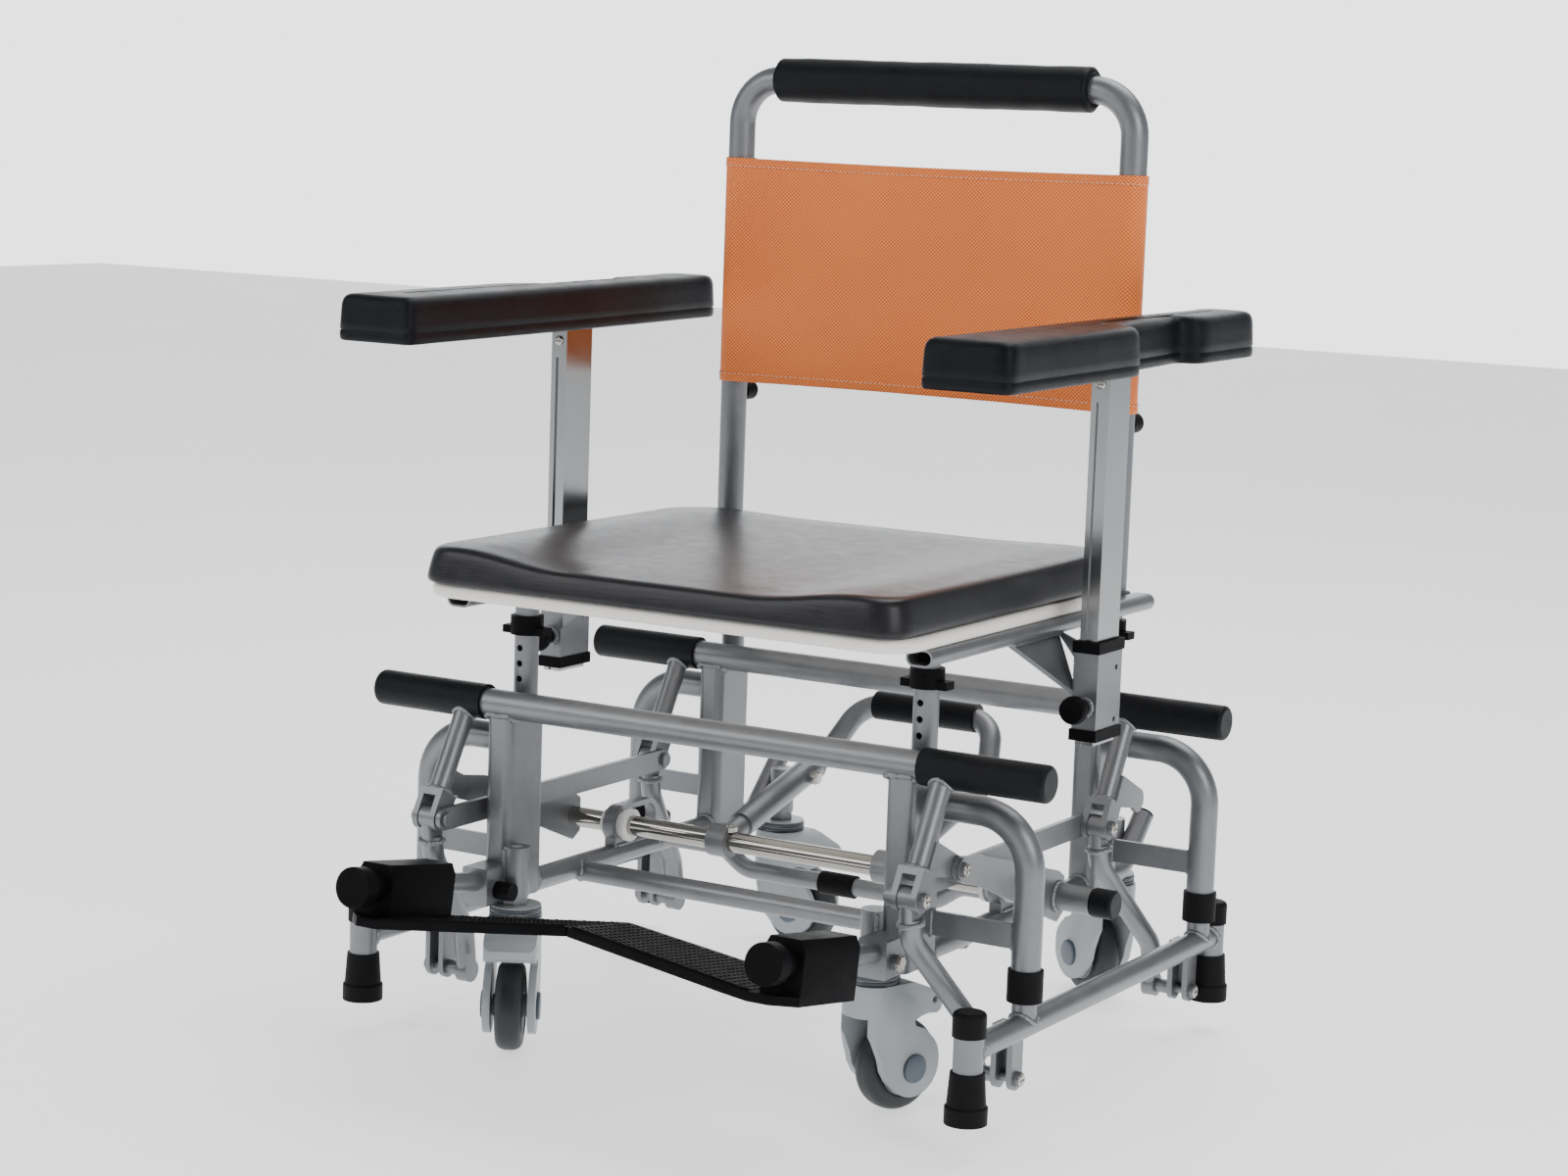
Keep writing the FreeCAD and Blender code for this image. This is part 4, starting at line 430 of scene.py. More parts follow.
def dress_nodes():
    """Give each part of the fixed frame its finish."""
    for name, part in frame["nodes"].items():
        skin = SKINS.get(name) or SKINS[name.rsplit("_", 1)[0]]
        part.data.materials.clear()
        part.data.materials.append(skin)


dress_nodes()


# Moulded pieces with eased edges

EASED = {"footplate_l": (PLASTIC, "black_plastic", 5.5), "footplate_r": (PLASTIC, "black_plastic", 5.5)}
EASED.update({"caster_fork_" + corner: (CASTER, "caster_grey", 2.4) for corner in ("fl", "fr", "rl", "rr")})


def ease_edges(name, skin, width):
    """A node's own surface with its flat faces joined again and its sharp edges rounded."""
    copy = bpy.data.meshes.new(name + "_moulded")
    shape = bmesh.new()
    shape.from_mesh(frame["nodes"][name].data)
    bmesh.ops.remove_doubles(shape, verts=shape.verts, dist=0.02 * MM)
    bmesh.ops.dissolve_limit(shape, angle_limit=math.radians(1.0), verts=shape.verts, edges=shape.edges)
    bmesh.ops.recalc_face_normals(shape, faces=shape.faces)
    shape.to_mesh(copy)
    shape.free()
    made = placed(name + "_moulded", copy)
    copy.materials.append(skin)
    bevel = made.modifiers.new("eased", "BEVEL")
    bevel.width, bevel.segments, bevel.limit_method = width * MM, 4, "ANGLE"
    bevel.angle_limit = math.radians(28)
    copy.polygons.foreach_set("use_smooth", [True] * len(copy.polygons))
    body = next(b for b, names in frame["record"]["behaviour"]["bodies"].items() if name in names)
    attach(made, body)
    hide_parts(name)


for name, (skin, slot, width) in EASED.items():
    ease_edges(name, skin, width)


# Seat cushion

CUSHION_HALF, CUSHION_FRONT, CUSHION_REAR = 240.0, -88.0, 352.0
CUSHION_LOW, CUSHION_EDGE, CUSHION_CROWN = 420.2, 30.0, 5.0
FRONT_CORNER, REAR_CORNER = 26.0, 55.0
DIP_FRONT, DIP_EASE, FLANK_INNER, FLANK_OUTER = 11.0, 8.0, 95, 200


def rounded_outline(half, front, rear, front_radius, rear_radius, step=6.0):
    """A rectangle's outline with corner arcs, walked round from the middle of the front."""
    points = []
    for cx, cy, radius, start in ((half - front_radius, front + front_radius, front_radius, -0.25),
                                  (half - rear_radius, rear - rear_radius, rear_radius, 0.0),
                                  (rear_radius - half, rear - rear_radius, rear_radius, 0.25),
                                  (front_radius - half, front + front_radius, front_radius, 0.5)):
        t = np.linspace(start, start + 0.25, 12) * TAU
        points.append(np.stack([cx + radius * np.cos(t), cy + radius * np.sin(t)], -1))
    return even_outline(np.concatenate(points), step)


def even_outline(points, step):
    """A closed outline walked in even steps."""
    loop = np.concatenate([points, points[:1]])
    run = run_along(loop)
    places = np.linspace(0, run[-1], int(run[-1] / step), endpoint=False)
    return points_at(places, run, loop)


def softened(points, passes):
    """Corners eased by averaging each point with its neighbours."""
    for _ in range(passes):
        points = (np.roll(points, 1, 0) + 2 * points + np.roll(points, -1, 0)) / 4
    return points


def smooth_step(value, low, high):
    """A smooth rise from 0 to 1 between two values."""
    t = np.clip((value - low) / (high - low), 0, 1)
    return t * t * (3 - 2 * t)


def make_cushion():
    """Rows from the underside, up the drawn-in side, over the rim and in to the middle.
    A row is the outline scaled towards the centre. Heights sink in the middle of the
    front by a dip that fades towards the back and under the raised flanks."""
    outline = rounded_outline(CUSHION_HALF, CUSHION_FRONT, CUSHION_REAR, FRONT_CORNER, REAR_CORNER)
    centre = np.array([0.0, (CUSHION_FRONT + CUSHION_REAR) / 2])
    side = [(60, 0.0), (4, 0.0), (2.2, 0.5), (0.6, 1.8), (0.0, 4.0), (0.3, 7.5), (1.2, 13.0), (2.4, 19.0),
            (3.5, 24.0), (4.6, 27.6), (6.2, 30.2), (9.0, 32.0), (13.5, 33.0)]
    inner = [(inset, 33.2 + 1.8 * smooth_step(inset, 16, 60))
             for inset in (20, 29, 40, 52, 66, 84, 104, 126, 150, 176, 204, 226)]
    rows = []
    for inset, height in [(150, 0.0)] + side + inner:
        scale = 1 - inset / CUSHION_HALF
        place = centre + (outline - centre) * scale
        back_share = (place[:, 1] - CUSHION_FRONT) / (CUSHION_REAR - CUSHION_FRONT)
        dip = DIP_FRONT - DIP_EASE * smooth_step(back_share, 0.0, 1.0)
        dip = dip * (1 - smooth_step(np.abs(place[:, 0]), FLANK_INNER, FLANK_OUTER))
        share = height / (CUSHION_EDGE + CUSHION_CROWN)
        z = CUSHION_LOW + height - dip * share ** 1.5
        rows.append(np.stack([place[:, 0], place[:, 1] + FRONT_RAIL_Y, z], -1) * MM)
    made = piece("cushion", *closed_grid(np.array(rows)), "cushion", SEAT_VINYL)
    smoothing = made.modifiers.new("round", "SUBSURF")
    smoothing.levels = smoothing.render_levels = 1
    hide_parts("seat_cushion")


make_cushion()


# Arm pads

PAD_LOW, PAD_HEIGHT, PAD_RISE = 628.0, 38.0, math.radians(0.6)
PAD_PIVOT_Y = 204.0
PAD_OUTLINE = [(251, -89), (327, -89), (332, -84), (332, 144), (330, 155), (323, 162), (313, 166), (308, 172),
               (306, 184), (305, 215), (302, 260), (299, 290), (298, 299), (302, 304), (311, 306), (316, 310),
               (318, 320), (319, 416), (315, 429), (303, 436), (279, 437), (266, 433), (261, 421), (256, 300),
               (252.7, 198), (250, -84)]
PAD_SPINE = [(-85, 292), (150, 291), (180, 280), (300, 277), (320, 287), (430, 289)]
PAD_ROWS = [(2.6, 0.0), (1.0, 0.7), (0.2, 2.2), (0.0, 5.0), (0.0, 8.4), (0.9, 9.2), (0.9, 9.9), (0.0, 10.7),
            (0.4, 17.0), (0.9, 26.0), (1.5, 32.5), (2.8, 36.4), (5.2, 39.2), (9.0, 40.8)]


def make_arm_pad(name, side):
    """The outline drawn in row by row towards a line along the pad's middle, with a seam low
    on the side, and closed above and below on that line."""
    outline = softened(even_outline(np.array(PAD_OUTLINE, float), 3.0), 6)
    spine_y = np.clip(outline[:, 1], -45, 388)
    spine = np.stack([np.interp(spine_y, *zip(*PAD_SPINE)), spine_y], -1)
    outward = outline - spine
    outward /= np.linalg.norm(outward, axis=1)[:, None]
    rows = []

    def row(flat, height):
        """A flat row raised, with the pad's slight rise towards the back."""
        z = PAD_LOW + height + (flat[:, 1] - PAD_PIVOT_Y) * math.sin(PAD_RISE)
        rows.append(np.stack([side * flat[:, 0], flat[:, 1] + FRONT_RAIL_Y, z], -1) * MM)

    edge = outline - outward * PAD_ROWS[0][0]
    for share in (0.95, 0.5):
        row(edge + (spine - edge) * share, 0.0)
    for inset, height in PAD_ROWS:
        row(outline - outward * inset, height)
    edge = outline - outward * PAD_ROWS[-1][0]
    for share, crown in ((0.25, 0.5), (0.5, 0.9), (0.75, 1.1), (0.97, 1.2)):
        row(edge + (spine - edge) * share, PAD_ROWS[-1][1] + crown)
    made = piece("pad_" + name, *closed_grid(np.array(rows)), "arm_" + name, VINYL)
    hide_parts("arm_pad_" + name)


for name, side in SIDES.items():
    make_arm_pad(name, side)


# Backrest cloth

BACK_X, BACK_Y, TUBE_RADIUS = 208.5, 381.0, 12.7
CLOTH_LOW, CLOTH_HIGH = 573.5, 789.5
CLOTH_RADIUS = TUBE_RADIUS + 1.05


def cloth_path(count=150, swell=0.0):
    """Round the left tube from behind, across the front and round the right tube."""
    radius = CLOTH_RADIUS + swell
    t = np.linspace(math.radians(30), math.radians(270), 28)
    left = np.stack([-BACK_X + radius * np.cos(t), BACK_Y + radius * np.sin(t)], -1)
    across = np.linspace(-BACK_X, BACK_X, count)[1:-1]
    front = np.stack([across, np.full(len(across), BACK_Y - radius)], -1)
    right = left[::-1] * np.array([-1, 1])
    return np.concatenate([left, front, right])


def cloth_points(path, height):
    """The path at each height, pressed back a little in the middle, with slack near the tubes."""
    u = np.clip((path[:, 0] + BACK_X) / (2 * BACK_X), 0, 1)[None, :]
    v = ((height - CLOTH_LOW) / (CLOTH_HIGH - CLOTH_LOW))[:, None]
    front = (path[:, 1] < BACK_Y - TUBE_RADIUS * 0.9).astype(float)[None, :]
    middle = np.sin(math.pi * u)
    sag = 4.0 * middle ** 0.8 * (0.75 + 0.25 * np.cos(math.pi * (v - 0.5)))
    folds = (0.9 * np.sin(TAU * (1.6 * u + 0.9 * v)) * middle
             + 0.5 * np.sin(TAU * (3.1 * u - 1.7 * v)) * middle)
    y = path[None, :, 1] + (sag + folds) * front
    z = height[:, None] + 1.6 * middle * (1 - 2 * v) * front
    x = np.broadcast_to(path[None, :, 0], y.shape)
    return np.stack([x, y + FRONT_RAIL_Y, z], -1) * MM


def make_cloth():
    """A grid of path places and heights, given its thickness, and its UV in metres of cloth."""
    path = cloth_path()
    height = np.linspace(CLOTH_LOW, CLOTH_HIGH, 46)
    points = cloth_points(path, height)
    rows, columns = points.shape[:2]
    run = run_along(path) * MM
    uv = np.stack(np.broadcast_arrays(run[None, :], (height[:, None] - CLOTH_LOW) * MM), -1).reshape(-1, 2)
    faces = grid_faces(rows, columns, around=False)
    made = piece("back_cloth", points.reshape(-1, 3), faces, "seat", NET, uv=uv)
    wall = made.modifiers.new("wall", "SOLIDIFY")
    wall.thickness, wall.offset = 1.3 * MM, 0.0
    hems = [make_hem("hem_low", CLOTH_LOW + 4.5), make_hem("hem_high", CLOTH_HIGH - 4.5)]
    stitches = make_stitches()
    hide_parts("backrest_mesh")


def make_hem(name, middle):
    """A flat rounded band along the cloth's edge, on the same path."""
    low, high = middle - 4.6, middle + 4.6
    section = [(low, 0.0), (low, 0.75), (low + 0.8, 1.15), (high - 0.8, 1.15), (high, 0.75),
               (high, 0.0), (high, -0.75), (high - 0.8, -0.95), (low + 0.8, -0.95), (low, -0.75)]
    rows = [cloth_points(cloth_path(swell=swell), np.array([height]))[0] for height, swell in section]
    points = np.array(rows).transpose(1, 0, 2)
    run, girth = run_along(cloth_path()) * MM, run_along(points[0])
    uv = np.stack(np.broadcast_arrays(run[:, None], girth[None, :]), -1).reshape(-1, 2)
    uv = np.concatenate([uv, uv[:1], uv[-1:]])
    return piece(name, *closed_grid(points), "seat", NET, uv=uv)


def make_stitches():
    """Short pale threads in a row along each hem: small stretched beads on the cloth's path."""
    path = cloth_path(count=420, swell=1.75)
    run = run_along(path)
    places = np.arange(6, run[-1] - 6, 5.2)
    parts = []
    t = np.linspace(0, TAU, 6, endpoint=False)
    for height in (CLOTH_LOW + 7.6, CLOTH_HIGH - 7.6):
        line = cloth_points(path, np.array([height]))[0]
        spots = points_at(places, run, line)
        ahead = points_at(places + 1.5, run, line) - spots
        for spot, way in zip(spots, map(unit, ahead)):
            side_way = np.cross(way, Z)
            rows = [spot + way * reach * MM + spokes(t, side_way, Z) * girth * MM
                    for reach, girth in ((-1.6, 0.15), (-1.0, 0.42), (1.0, 0.42), (1.6, 0.15))]
            parts.append(closed_grid(np.array(rows)))
    return add("hem_stitches", parts, "seat", THREAD)


make_cloth()


# Push grip

GRIP_HALF, GRIP_Z = 166.0, 865.0


def make_push_grip():
    """A foam sleeve turned round the top tube: rounded ends and shallow hand-worn waves."""
    along = np.linspace(-GRIP_HALF, GRIP_HALF, 120)
    inset = GRIP_HALF - np.abs(along)
    radius = 21.0 - 3.6 * (1 - np.sqrt(1 - (1 - np.clip(inset / 4.0, 0, 1)) ** 2))
    radius += 0.25 * np.sin(along / 23.0) + 0.15 * np.sin(along / 7.1 + 1)
    outer = list(zip(along, np.minimum(radius, 21.2)))
    outline = [(1 - GRIP_HALF, 12.9)] + outer + [(GRIP_HALF - 1, 12.9)]
    made = piece("push_foam", *looped(turned(at(0, BACK_Y, GRIP_Z), X, outline, 64)), "seat", FOAM)
    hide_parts("push_grip")


make_push_grip()


# Casters

SOCKET_X, WHEEL_RADIUS, TRAIL = 184.0, 40.0, 30.0
TYRE_BED, TYRE_HALF, TYRE_ROUNDNESS = 28.5, 12.5, 2.7
HUB_LINE = [(-15.9, 5.1), (-15.9, 9.5), (-12.6, 10.5), (-9.6, 13.0), (-8.8, 20.0), (-10.5, 24.5), (-11.9, 27.0),
            (-11.0, 28.6), (11.0, 28.6), (11.9, 27.0), (10.5, 24.5), (8.8, 20.0), (9.6, 13.0), (12.6, 10.5),
            (15.9, 9.5), (15.9, 5.1)]
CAP_LINE = [(23.6, 12.5), (25.7, 12.4), (26.4, 11.8), (26.6, 10.8), (26.8, 5.0), (26.85, 0.01)]
DISC_LINE = [(115.2, 22.0), (115.6, 23.2), (118.0, 23.6), (119.6, 23.6), (119.9, 23.0), (120.4, 23.0),
             (120.7, 23.6), (124.4, 23.3), (125.3, 22.4), (125.35, 8.0)]
TURNS = {"fl": 210.7, "fr": -18.0, "rl": -96.2, "rr": 55.0}


def caster_axes(corner):
    """A caster's swivel foot on the floor, and its own sideways and trailing directions."""
    side = SIDES[corner[1]]
    y = -4.0 if corner[0] == "f" else 104.0 + RAIL_SPREAD
    t = math.radians(TURNS[corner])
    c, s = math.cos(t), math.sin(t)
    return at(side * SOCKET_X, y, 0), np.array([c, s, 0]), np.array([-s, c, 0])


def make_caster(corner):
    """A rounded tyre with a fine parting line, a dished hub, hub caps and the swivel disc."""
    foot, sideways, trail = caster_axes(corner)
    axle = foot + trail * TRAIL * MM + Z * WHEEL_RADIUS * MM
    across = np.linspace(-1, 1, 33)
    tread = (1 - np.abs(across) ** TYRE_ROUNDNESS) ** (1 / TYRE_ROUNDNESS)
    tread = TYRE_BED + (WHEEL_RADIUS - TYRE_BED) * tread
    tread -= 0.25 * np.exp(-(across / 0.04) ** 2)
    outer = list(zip(TYRE_HALF * across, tread))
    outline = [(-9.0, 24.0), (-12.0, 26.5)] + outer + [(12.0, 26.5), (9.0, 24.0)]
    tyre = piece("tyre_" + corner, *looped(turned(axle, sideways, outline, 96)), "wheel_" + corner, TYRE)
    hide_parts("caster_wheel_" + corner)
    hub = looped(turned(axle, sideways, HUB_LINE, 64))
    piece("hub_" + corner, *hub, "wheel_" + corner, CASTER)
    caps = [closed_grid(turned(axle, sideways * way, CAP_LINE, 40)) for way in (-1, 1)]
    add("hub_caps_" + corner, caps, "fork_" + corner, CAP)
    disc = closed_grid(turned(foot, Z, DISC_LINE, 56))
    piece("swivel_disc_" + corner, *disc, "fork_" + corner, DISC)


for corner in TURNS:
    make_caster(corner)


# Weld beads

BEAD_RADIUS = 2.1
POST_X, LINK_X, FOOT_X = 204.5, 243.0, 308.0
LEG_BEHIND = 34.0
SHAFT_Y, SHAFT_Z = 190.0, 163.5
LEVER_X, LEVER_LEG, LEVER_SLOPE = 88.0, 172.0, math.radians(15.5)
beads = {}


def bead(body, path, closed=True, radius=BEAD_RADIUS):
    """A scalloped half-round carried along a path: the section swells and shrinks as it goes."""
    path = np.asarray(path, float)
    loop = np.concatenate([path, path[:1]]) if closed else path
    length = run_along(loop)
    count = max(8, int(length[-1] / (0.9 * MM)))
    places = np.linspace(0, length[-1], count, endpoint=not closed)
    line = points_at(places, length, loop)
    if closed:
        ahead = np.roll(line, -1, 0) - np.roll(line, 1, 0)
    else:
        ahead = np.gradient(line, axis=0)
    ahead /= np.linalg.norm(ahead, axis=1)[:, None] + 1e-12
    helper = np.where(np.abs(ahead[:, 2:3]) < 0.9, Z[None], X[None])
    first = np.cross(ahead, helper)
    first /= np.linalg.norm(first, axis=1)[:, None]
    second = np.cross(ahead, first)
    ripple = 1 + 0.17 * np.abs(np.sin(places / (3.1 * MM) * math.pi)) + 0.10 * random.standard_normal(count)
    girth = radius * MM * np.clip(ripple, 0.75, 1.35)
    if not closed:
        girth[:2] *= (0.35, 0.8)
        girth[-2:] *= (0.8, 0.35)
    t = np.linspace(0, TAU, 8, endpoint=False)
    rows = line[:, None] + girth[:, None, None] * (np.cos(t)[None, :, None] * first[:, None]
                                                   + np.sin(t)[None, :, None] * second[:, None])
    beads.setdefault(body, []).append(looped(rows) if closed else closed_grid(rows))


def circle(centre, axis, radius, count=72):
    """A circle square to an axis."""
    t = np.linspace(0, 1, count, endpoint=False) * TAU
    return centre + radius * MM * spokes(t, *square_to(axis))


def saddle(centre, run, host_axis, radius, host_radius, count=72):
    """Where a tube that leaves the centre along run comes out of a host tube:
    the reach is the root of the host's radius squared less the offset squared."""
    run, along = unit(run), unit(host_axis)
    up = np.cross(run, along)
    t = np.linspace(0, TAU, count, endpoint=False)
    reach = np.sqrt(np.maximum(host_radius ** 2 - (radius * np.sin(t)) ** 2, 0))
    return centre + MM * (radius * np.cos(t)[:, None] * along + radius * np.sin(t)[:, None] * up
                          + reach[:, None] * run)


def frame_beads():
    """The seams of the base: rails on posts, tubes, legs, struts, sockets and loops."""
    for side in (-1, 1):
        post = side * POST_X
        for end in ENDS.values():
            for face in (-13.5, 13.5):
                t = np.linspace(-0.75 * math.pi, -0.02 * math.pi, 40)
                ring = at(post + face, end, 304) + MM * 12.9 * spokes(t, Y, Z)
                bead("base", ring, closed=False, radius=2.6)
            bead("base", [at(post - 13, end - 9, 295.5), at(post, end - 9.2, 294.6),
                          at(post + 13, end - 9, 295.5)], closed=False, radius=2.4)
            bead("base", circle(at(side * 218.2, end + LEG_BEHIND, 266), X, 12.9))
            for x in (218.3, FOOT_X - 12.7 + 0.3):
                box = [at(side * x, end + LEG_BEHIND + dy, 164 + dz)
                       for dy, dz in ((-2.4, -10.6), (2.4, -10.6), (2.4, 10.6), (-2.4, 10.6))]
                bead("base", box, radius=1.5)
        for y in (47.3, 345.7, 402.3):
            bead("base", circle(at(post, y, 134.5), Y, 10.3))
        bead("base", saddle(at(post, 125, 131.5), -side * X, Y, 9.6, 10.2))
        bead("base", saddle(at(post, 258, 139.5), -side * X, Y, 8.6, 9.6))
        for dy in (-9.4, 8.6):
            bead("base", [at(side * 191.0, -4 + dy, z) for z in (136, 157, 176)], closed=False, radius=2.0)
        for dx in (-6.2, 6.2):
            bead("base", [at(post + dx, y, 144.0) for y in (181, 212, 243)], closed=False, radius=1.7)
        for dx in (-9, 9):
            bead("base", [at(side * 184 + dx, 451, 146), at(side * 188 + dx, 459, 150),
                          at(side * 188 + dx, 468, 156)], closed=False, radius=2.0)


def knee_place(side, end):
    """Where the knee pin of a link stands."""
    return at(side * LINK_X, end - 54.5, 205)


def link_beads():
    """The seams of the links: below the sleeve, at the clevis and below each eye."""
    for row, end in ENDS.items():
        for name, side in SIDES.items():
            corner = row + name
            top, knee = at(side * LINK_X, end, 304), knee_place(side, end)
            slope = unit(knee - top)
            bead("link_" + corner, saddle(top, slope, X, 9.5, 15.4), radius=1.8)
            bead("link_" + corner, circle(knee - slope * 25.0 * MM, slope, 10.2), radius=2.0)
            eye = circle(at(side * 243.5, end - 51.0, 183.5), (side * 0.08, 0.16, -1), 9.9)
            bead("lower_" + corner, eye, radius=2.2)


def foot_beads():
    """The seams of the foot frames: tube to posts, guide rods to tube, brackets to tube."""
    for name, side in SIDES.items():
        body = "feet_" + name
        x = side * FOOT_X
        for y, way in ((-64, 1), (419, -1)):
            bead(body, saddle(at(x, y, 90), way * Y, Z, 10.9, 12.6))
        for end in ENDS.values():
            y = end + LEG_BEHIND
            bead(body, saddle(at(x, y, 90), Z, Y, 10.7, 11.2))
            for dx in (-20.3, -7.6, 0.4):
                seam = [at(x + side * dx, y - 8, 79.5), at(x + side * dx, y + 8, 79.5)]
                bead(body, seam, closed=False, radius=1.6)


def seat_beads():
    """The seams of the seat: legs and back on the cross tubes, cross tubes and gussets."""
    for side in (-1, 1):
        for end in ENDS.values():
            bead("seat", saddle(at(side * POST_X, end + 33, 400), -Z, X, 11.1, 11.6), radius=1.6)
            bead("seat", circle(at(side * 219.6, end + 33, 400), X, 7.6), radius=1.6)
        inner = side * 269.6
        bead("seat", [at(inner, 183, z) for z in (348, 365, 382)], closed=False, radius=2.2)
        bead("seat", [at(inner, 225, z) for z in (348, 364, 379)], closed=False, radius=2.0)
        bead("seat", [at(side * 236, y, 391.6) for y in (126, 156, 186, 222)], closed=False, radius=2.0)
        bead("seat", circle(at(side * 280.5, 179.8, 336), Y, 7.9), radius=1.7)


def shaft_beads():
    """The seams of the shaft and lever: stubs at the plates and sleeves on the legs."""
    run = np.array([0, math.cos(LEVER_SLOPE), math.sin(LEVER_SLOPE)])
    for side in (-1, 1):
        bead("shaft", circle(at(side * 260.4, SHAFT_Y, SHAFT_Z), X, 12.2), radius=2.0)
        start = at(side * LEVER_X, SHAFT_Y, SHAFT_Z)
        bead("shaft", circle(start + run * LEVER_LEG * MM, run, 11.6), radius=1.7)
        bead("shaft", saddle(start, run, X, 10.7, 15.6), radius=1.7)


frame_beads()
link_beads()
foot_beads()
seat_beads()
shaft_beads()
for body, parts in beads.items():
    add("beads_" + body, parts, body, BEAD)


# Bolts, screws and small fittings


def hex_head(centre, axis, across, height, collar=True):
    """A hexagonal head with a chamfered top on a washer face."""
    t = np.arange(6) / 6 * TAU
    t = np.sort(np.concatenate([t - 0.02, t + 0.02]))
    corner = across / 2 / math.cos(math.pi / 6)
    rows = []
    for along, scale in ((0.0, 1.0), (height * 0.72, 1.0), (height * 0.95, 0.93), (height, 0.84), (height, 0.02)):
        ring = corner * scale * spokes(t, *square_to(axis))
        rows.append(centre + MM * (along * unit(axis) + ring))
    parts = [closed_grid(np.array(rows))]
    if collar:
        line = [(-0.2, across * 0.62), (0.9, across * 0.62), (1.1, across * 0.58), (1.1, 0.01)]
        parts.append(closed_grid(turned(centre, axis, line, 32)))
    return parts


def pan_head(centre, axis, dia, height):
    """A domed screw head with a sunken cross: two slots cut as dips in its height."""
    first, second = square_to(axis)
    t = np.linspace(0, TAU, 40, endpoint=False)
    points = []
    for index, share in enumerate((1.0, 1.0, 0.97, 0.9, 0.75, 0.55, 0.4, 0.25, 0.12, 0.02)):
        lift = 0.0 if index == 0 else height * (1 - 0.55 * share ** 4)
        radius = dia / 2 * share
        x, y = radius * np.cos(t), radius * np.sin(t)
        slot = np.maximum(np.exp(-(x / (dia * 0.06)) ** 4) * (np.abs(y) < dia * 0.3),
                          np.exp(-(y / (dia * 0.06)) ** 4) * (np.abs(x) < dia * 0.3))
        depth = lift - 0.5 * height * slot * (index > 1)
        points.append(centre + MM * (depth[:, None] * unit(axis) + x[:, None] * first + y[:, None] * second))
    return [closed_grid(np.array(points))]


def make_fasteners():
    """Heads on the pins, clamps, shaft, lever and arm posts, riding with what they hold."""
    for row, end in ENDS.items():
        for name, side in SIDES.items():
            corner = row + name
            heads = pan_head(knee_place(side, end) + side * X * 15.9 * MM, side * X, 12.0, 2.4)
            if end == 0:
                heads += pan_head(at(side * 263.6, end + 5, 221), side * X, 11.0, 2.4)
            add("link_bolts_" + corner, heads, "link_" + corner, STEEL)
    for name, side in SIDES.items():
        heads = []
        for end in ENDS.values():
            heads += pan_head(at(side * 307.9, end + LEG_BEHIND, 43), side * X, 12.0, 2.2)
        add("foot_pins_" + name, heads, "feet_" + name, STEEL)
        screw = pan_head(at(side * 280.5, 183.1, 616), -Y, 9.0, 2.0)
        add("post_screw_" + name, screw, "arm_" + name, STEEL)
    clamps = []
    for side in (-1, 1):
        clamps += hex_head(at(side * 220.3, -25, 141), side * X, 11.5, 3.2)
    add("clamp_bolts", clamps, "base", STEEL, smooth=False)
    along = LEVER_LEG - 25.4
    shaft = hex_head(at(-80, SHAFT_Y, 173.0), Z, 12.0, 6.0, collar=False)
    for side in (-1, 1):
        spot = at(side * LEVER_X, SHAFT_Y + along * math.cos(LEVER_SLOPE),
                  SHAFT_Z + along * math.sin(LEVER_SLOPE))
        shaft += hex_head(spot + X * 16.4 * MM, X, 11.0, 4.0)
    add("shaft_bolts", shaft, "shaft", STEEL, smooth=False)


def make_board_screws():
    """Domed screws under the white board."""
    head = [(0, 6.0), (1.4, 5.9), (2.8, 4.9), (3.8, 2.8), (4.1, 0.01)]
    places = ((-120, -60), (60, -60), (170, -60), (224, 60), (224, 150), (-224, 60), (-224, 150))
    heads = [closed_grid(turned(at(x, y, 408.2), -Z, head, 32)) for x, y in places]
    add("board_screws", heads, "seat", STEEL)


make_fasteners()
make_board_screws()


# Footplate relief

SLOPE = math.radians(8.8)
TUBE_SIDE, MIDDLE_SIDE = -19.0, -202.25
LOW_LIFT, HIGH_LIFT = -25.0, -3.0
RISE = (HIGH_LIFT - LOW_LIFT) / (TUBE_SIDE - MIDDLE_SIDE)
TREAD_STEP = 7.0


def plate_place(side, forward, lift, across):
    """A place counted forward along a footrest tube, square above it and across from it."""
    return at(side * (203 + across), -12 - forward * math.cos(SLOPE) + lift * math.sin(SLOPE),
              145 + forward * math.sin(SLOPE) + lift * math.cos(SLOPE))


def plate_edge(across):
    """How far forward the bead lies, close behind the plate's front, which runs back to the middle."""
    return 192.5 - 13.0 * (TUBE_SIDE - across) / 184.0


def plate_lift(across):
    """How high the plate's top lies: it rises evenly from the tube towards the middle."""
    return LOW_LIFT + (TUBE_SIDE - across) * RISE


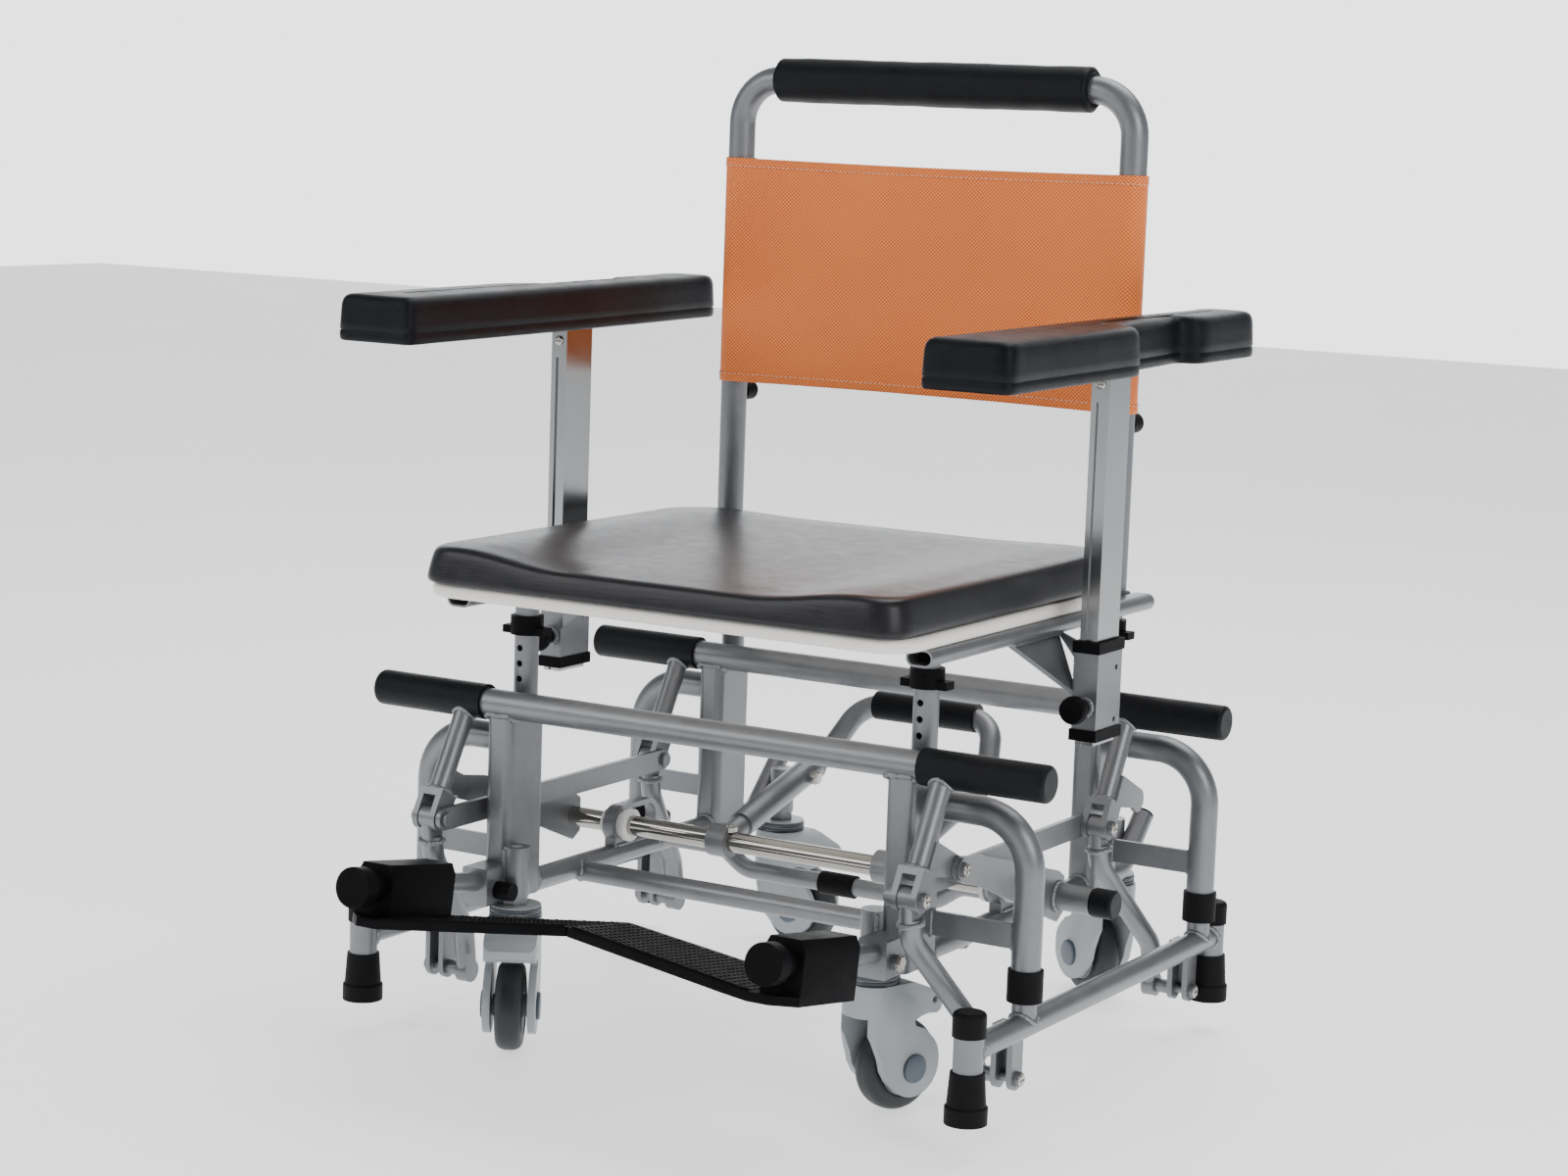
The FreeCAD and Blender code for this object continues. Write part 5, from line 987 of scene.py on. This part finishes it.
def make_tread(name, side):
    """Rows of small raised diamonds on the plate's top, and a bead along its front."""
    parts = []
    for column, across in enumerate(np.arange(-22.0, -201.0, -TREAD_STEP)):
        lift = plate_lift(across)
        for forward in np.arange(94 + TREAD_STEP / 2 * (column % 2), plate_edge(across) - 6, TREAD_STEP):
            verts = []
            for long, wide, height in ((2.9, 2.6, -0.05), (1.7, 1.5, 0.75)):
                verts += [plate_place(side, forward + df, lift + RISE * -dx + height, across + dx)
                          for df, dx in ((-long, 0), (0, -wide), (long, 0), (0, wide))]
            faces = [[k, (k + 1) % 4, 4 + (k + 1) % 4, 4 + k] for k in range(4)]
            parts.append((np.array(verts), [[4, 5, 6, 7]] + faces + [[3, 2, 1, 0]]))
    add("tread_" + name, parts, "plate_" + name, PLASTIC, smooth=False)
    line = [plate_place(side, plate_edge(a), plate_lift(a) + 0.3, a) for a in np.linspace(-20, -199, 46)]
    t = np.linspace(0, TAU, 12, endpoint=False)
    rows = np.array(line)[:, None] + MM * 1.7 * spokes(t, Y, Z)
    piece("plate_edge_" + name, *closed_grid(rows), "plate_" + name, PLASTIC)


for name, side in SIDES.items():
    make_tread(name, side)


# Floor, lights and camera

CAMERA_TURN, CAMERA_TILT, CAMERA_ROLL = (math.radians(angle) for angle in (30.62, 8.28, 2.0))
CAMERA_REACH, LENS = 3.043, 77.3
CAMERA_TARGET = np.array([-0.019, 0.025, 0.410])
CAMERA_BACK = np.array([math.sin(CAMERA_TURN) * math.cos(CAMERA_TILT),
                        -math.cos(CAMERA_TURN) * math.cos(CAMERA_TILT), math.sin(CAMERA_TILT)])
SURROUND_GLOW, BACKDROP_GLOW, FLOOR_GLOW = 0.34, 2.8, 0.95


def make_floor():
    """A wide pale floor under the trolley."""
    half = 9.0
    mesh = bpy.data.meshes.new("floor")
    corners = [(-half, -half, 0), (half, -half, 0), (half, half, 0), (-half, half, 0)]
    mesh.from_pydata(corners, [], [(0, 1, 2, 3)])
    floor = placed("floor", mesh)
    skin = finish("floor_white", (0.90, 0.90, 0.90), (0.92, 0.92, 0.92), (0.55, 0.65), clouds=2, depth=0.0)
    shader = skin.node_tree.nodes["Principled BSDF"]
    shader.inputs["Emission Color"].default_value = (0.97, 0.985, 1.0, 1)
    shader.inputs["Emission Strength"].default_value = FLOOR_GLOW
    mesh.materials.append(skin)


def area_light(name, place, target, size, power):
    """A soft square light that looks at a target."""
    data = bpy.data.lights.new(name, "AREA")
    data.energy, data.size = power, size
    lamp = placed(name, data)
    lamp.matrix_world = looking(np.array(place, float), np.array(target, float))


def looking(place, target, roll=0.0):
    """A matrix at a place that looks at a target, with the picture turned by a roll."""
    back = unit(place - target)
    right = unit(np.cross(Z, back)) if abs(back[2]) < 0.999 else X
    up = np.cross(back, right)
    r = right * math.cos(roll) + up * math.sin(roll)
    u = -right * math.sin(roll) + up * math.cos(roll)
    return Matrix([[r[k], u[k], back[k], place[k]] for k in range(3)] + [[0, 0, 0, 1]])


def make_camera():
    """The camera at the photo's angle."""
    data = bpy.data.cameras.new("camera")
    data.lens, data.sensor_width, data.sensor_fit = LENS, 36.0, "HORIZONTAL"
    camera = placed("camera", data)
    camera.matrix_world = looking(CAMERA_TARGET + CAMERA_BACK * CAMERA_REACH, CAMERA_TARGET, CAMERA_ROLL)
    bpy.context.scene.camera = camera


def make_world():
    """A dim pale surround with a wide bright field behind the trolley, as a lit backdrop."""
    world = bpy.data.worlds.new("surround")
    world.use_nodes = True
    tree = world.node_tree
    way = tree.nodes.new("ShaderNodeTexCoord").outputs["Generated"]
    facing = node(tree, "ShaderNodeVectorMath", {0: way, 1: tuple(-CAMERA_BACK)}, operation="DOT_PRODUCT")
    glow = node(tree, "ShaderNodeMapRange", {0: facing.outputs["Value"], 1: 0.72, 2: 0.95, 3: SURROUND_GLOW,
                                             4: BACKDROP_GLOW}, interpolation_type="SMOOTHSTEP")
    surround = tree.nodes["Background"]
    surround.inputs[0].default_value = (0.96, 0.98, 1.0, 1)
    tree.links.new(glow.outputs[0], surround.inputs[1])
    bpy.context.scene.world = world


make_floor()
area_light("key", (-2.2, -3.0, 2.4), (0, 0, 0.4), 2.0, 50)
area_light("fill", (3.2, -1.2, 2.0), (0, 0, 0.4), 1.6, 50)
area_light("top", (0.2, 1.4, 3.6), (0, 0, 0.4), 2.6, 85)
make_camera()
make_world()
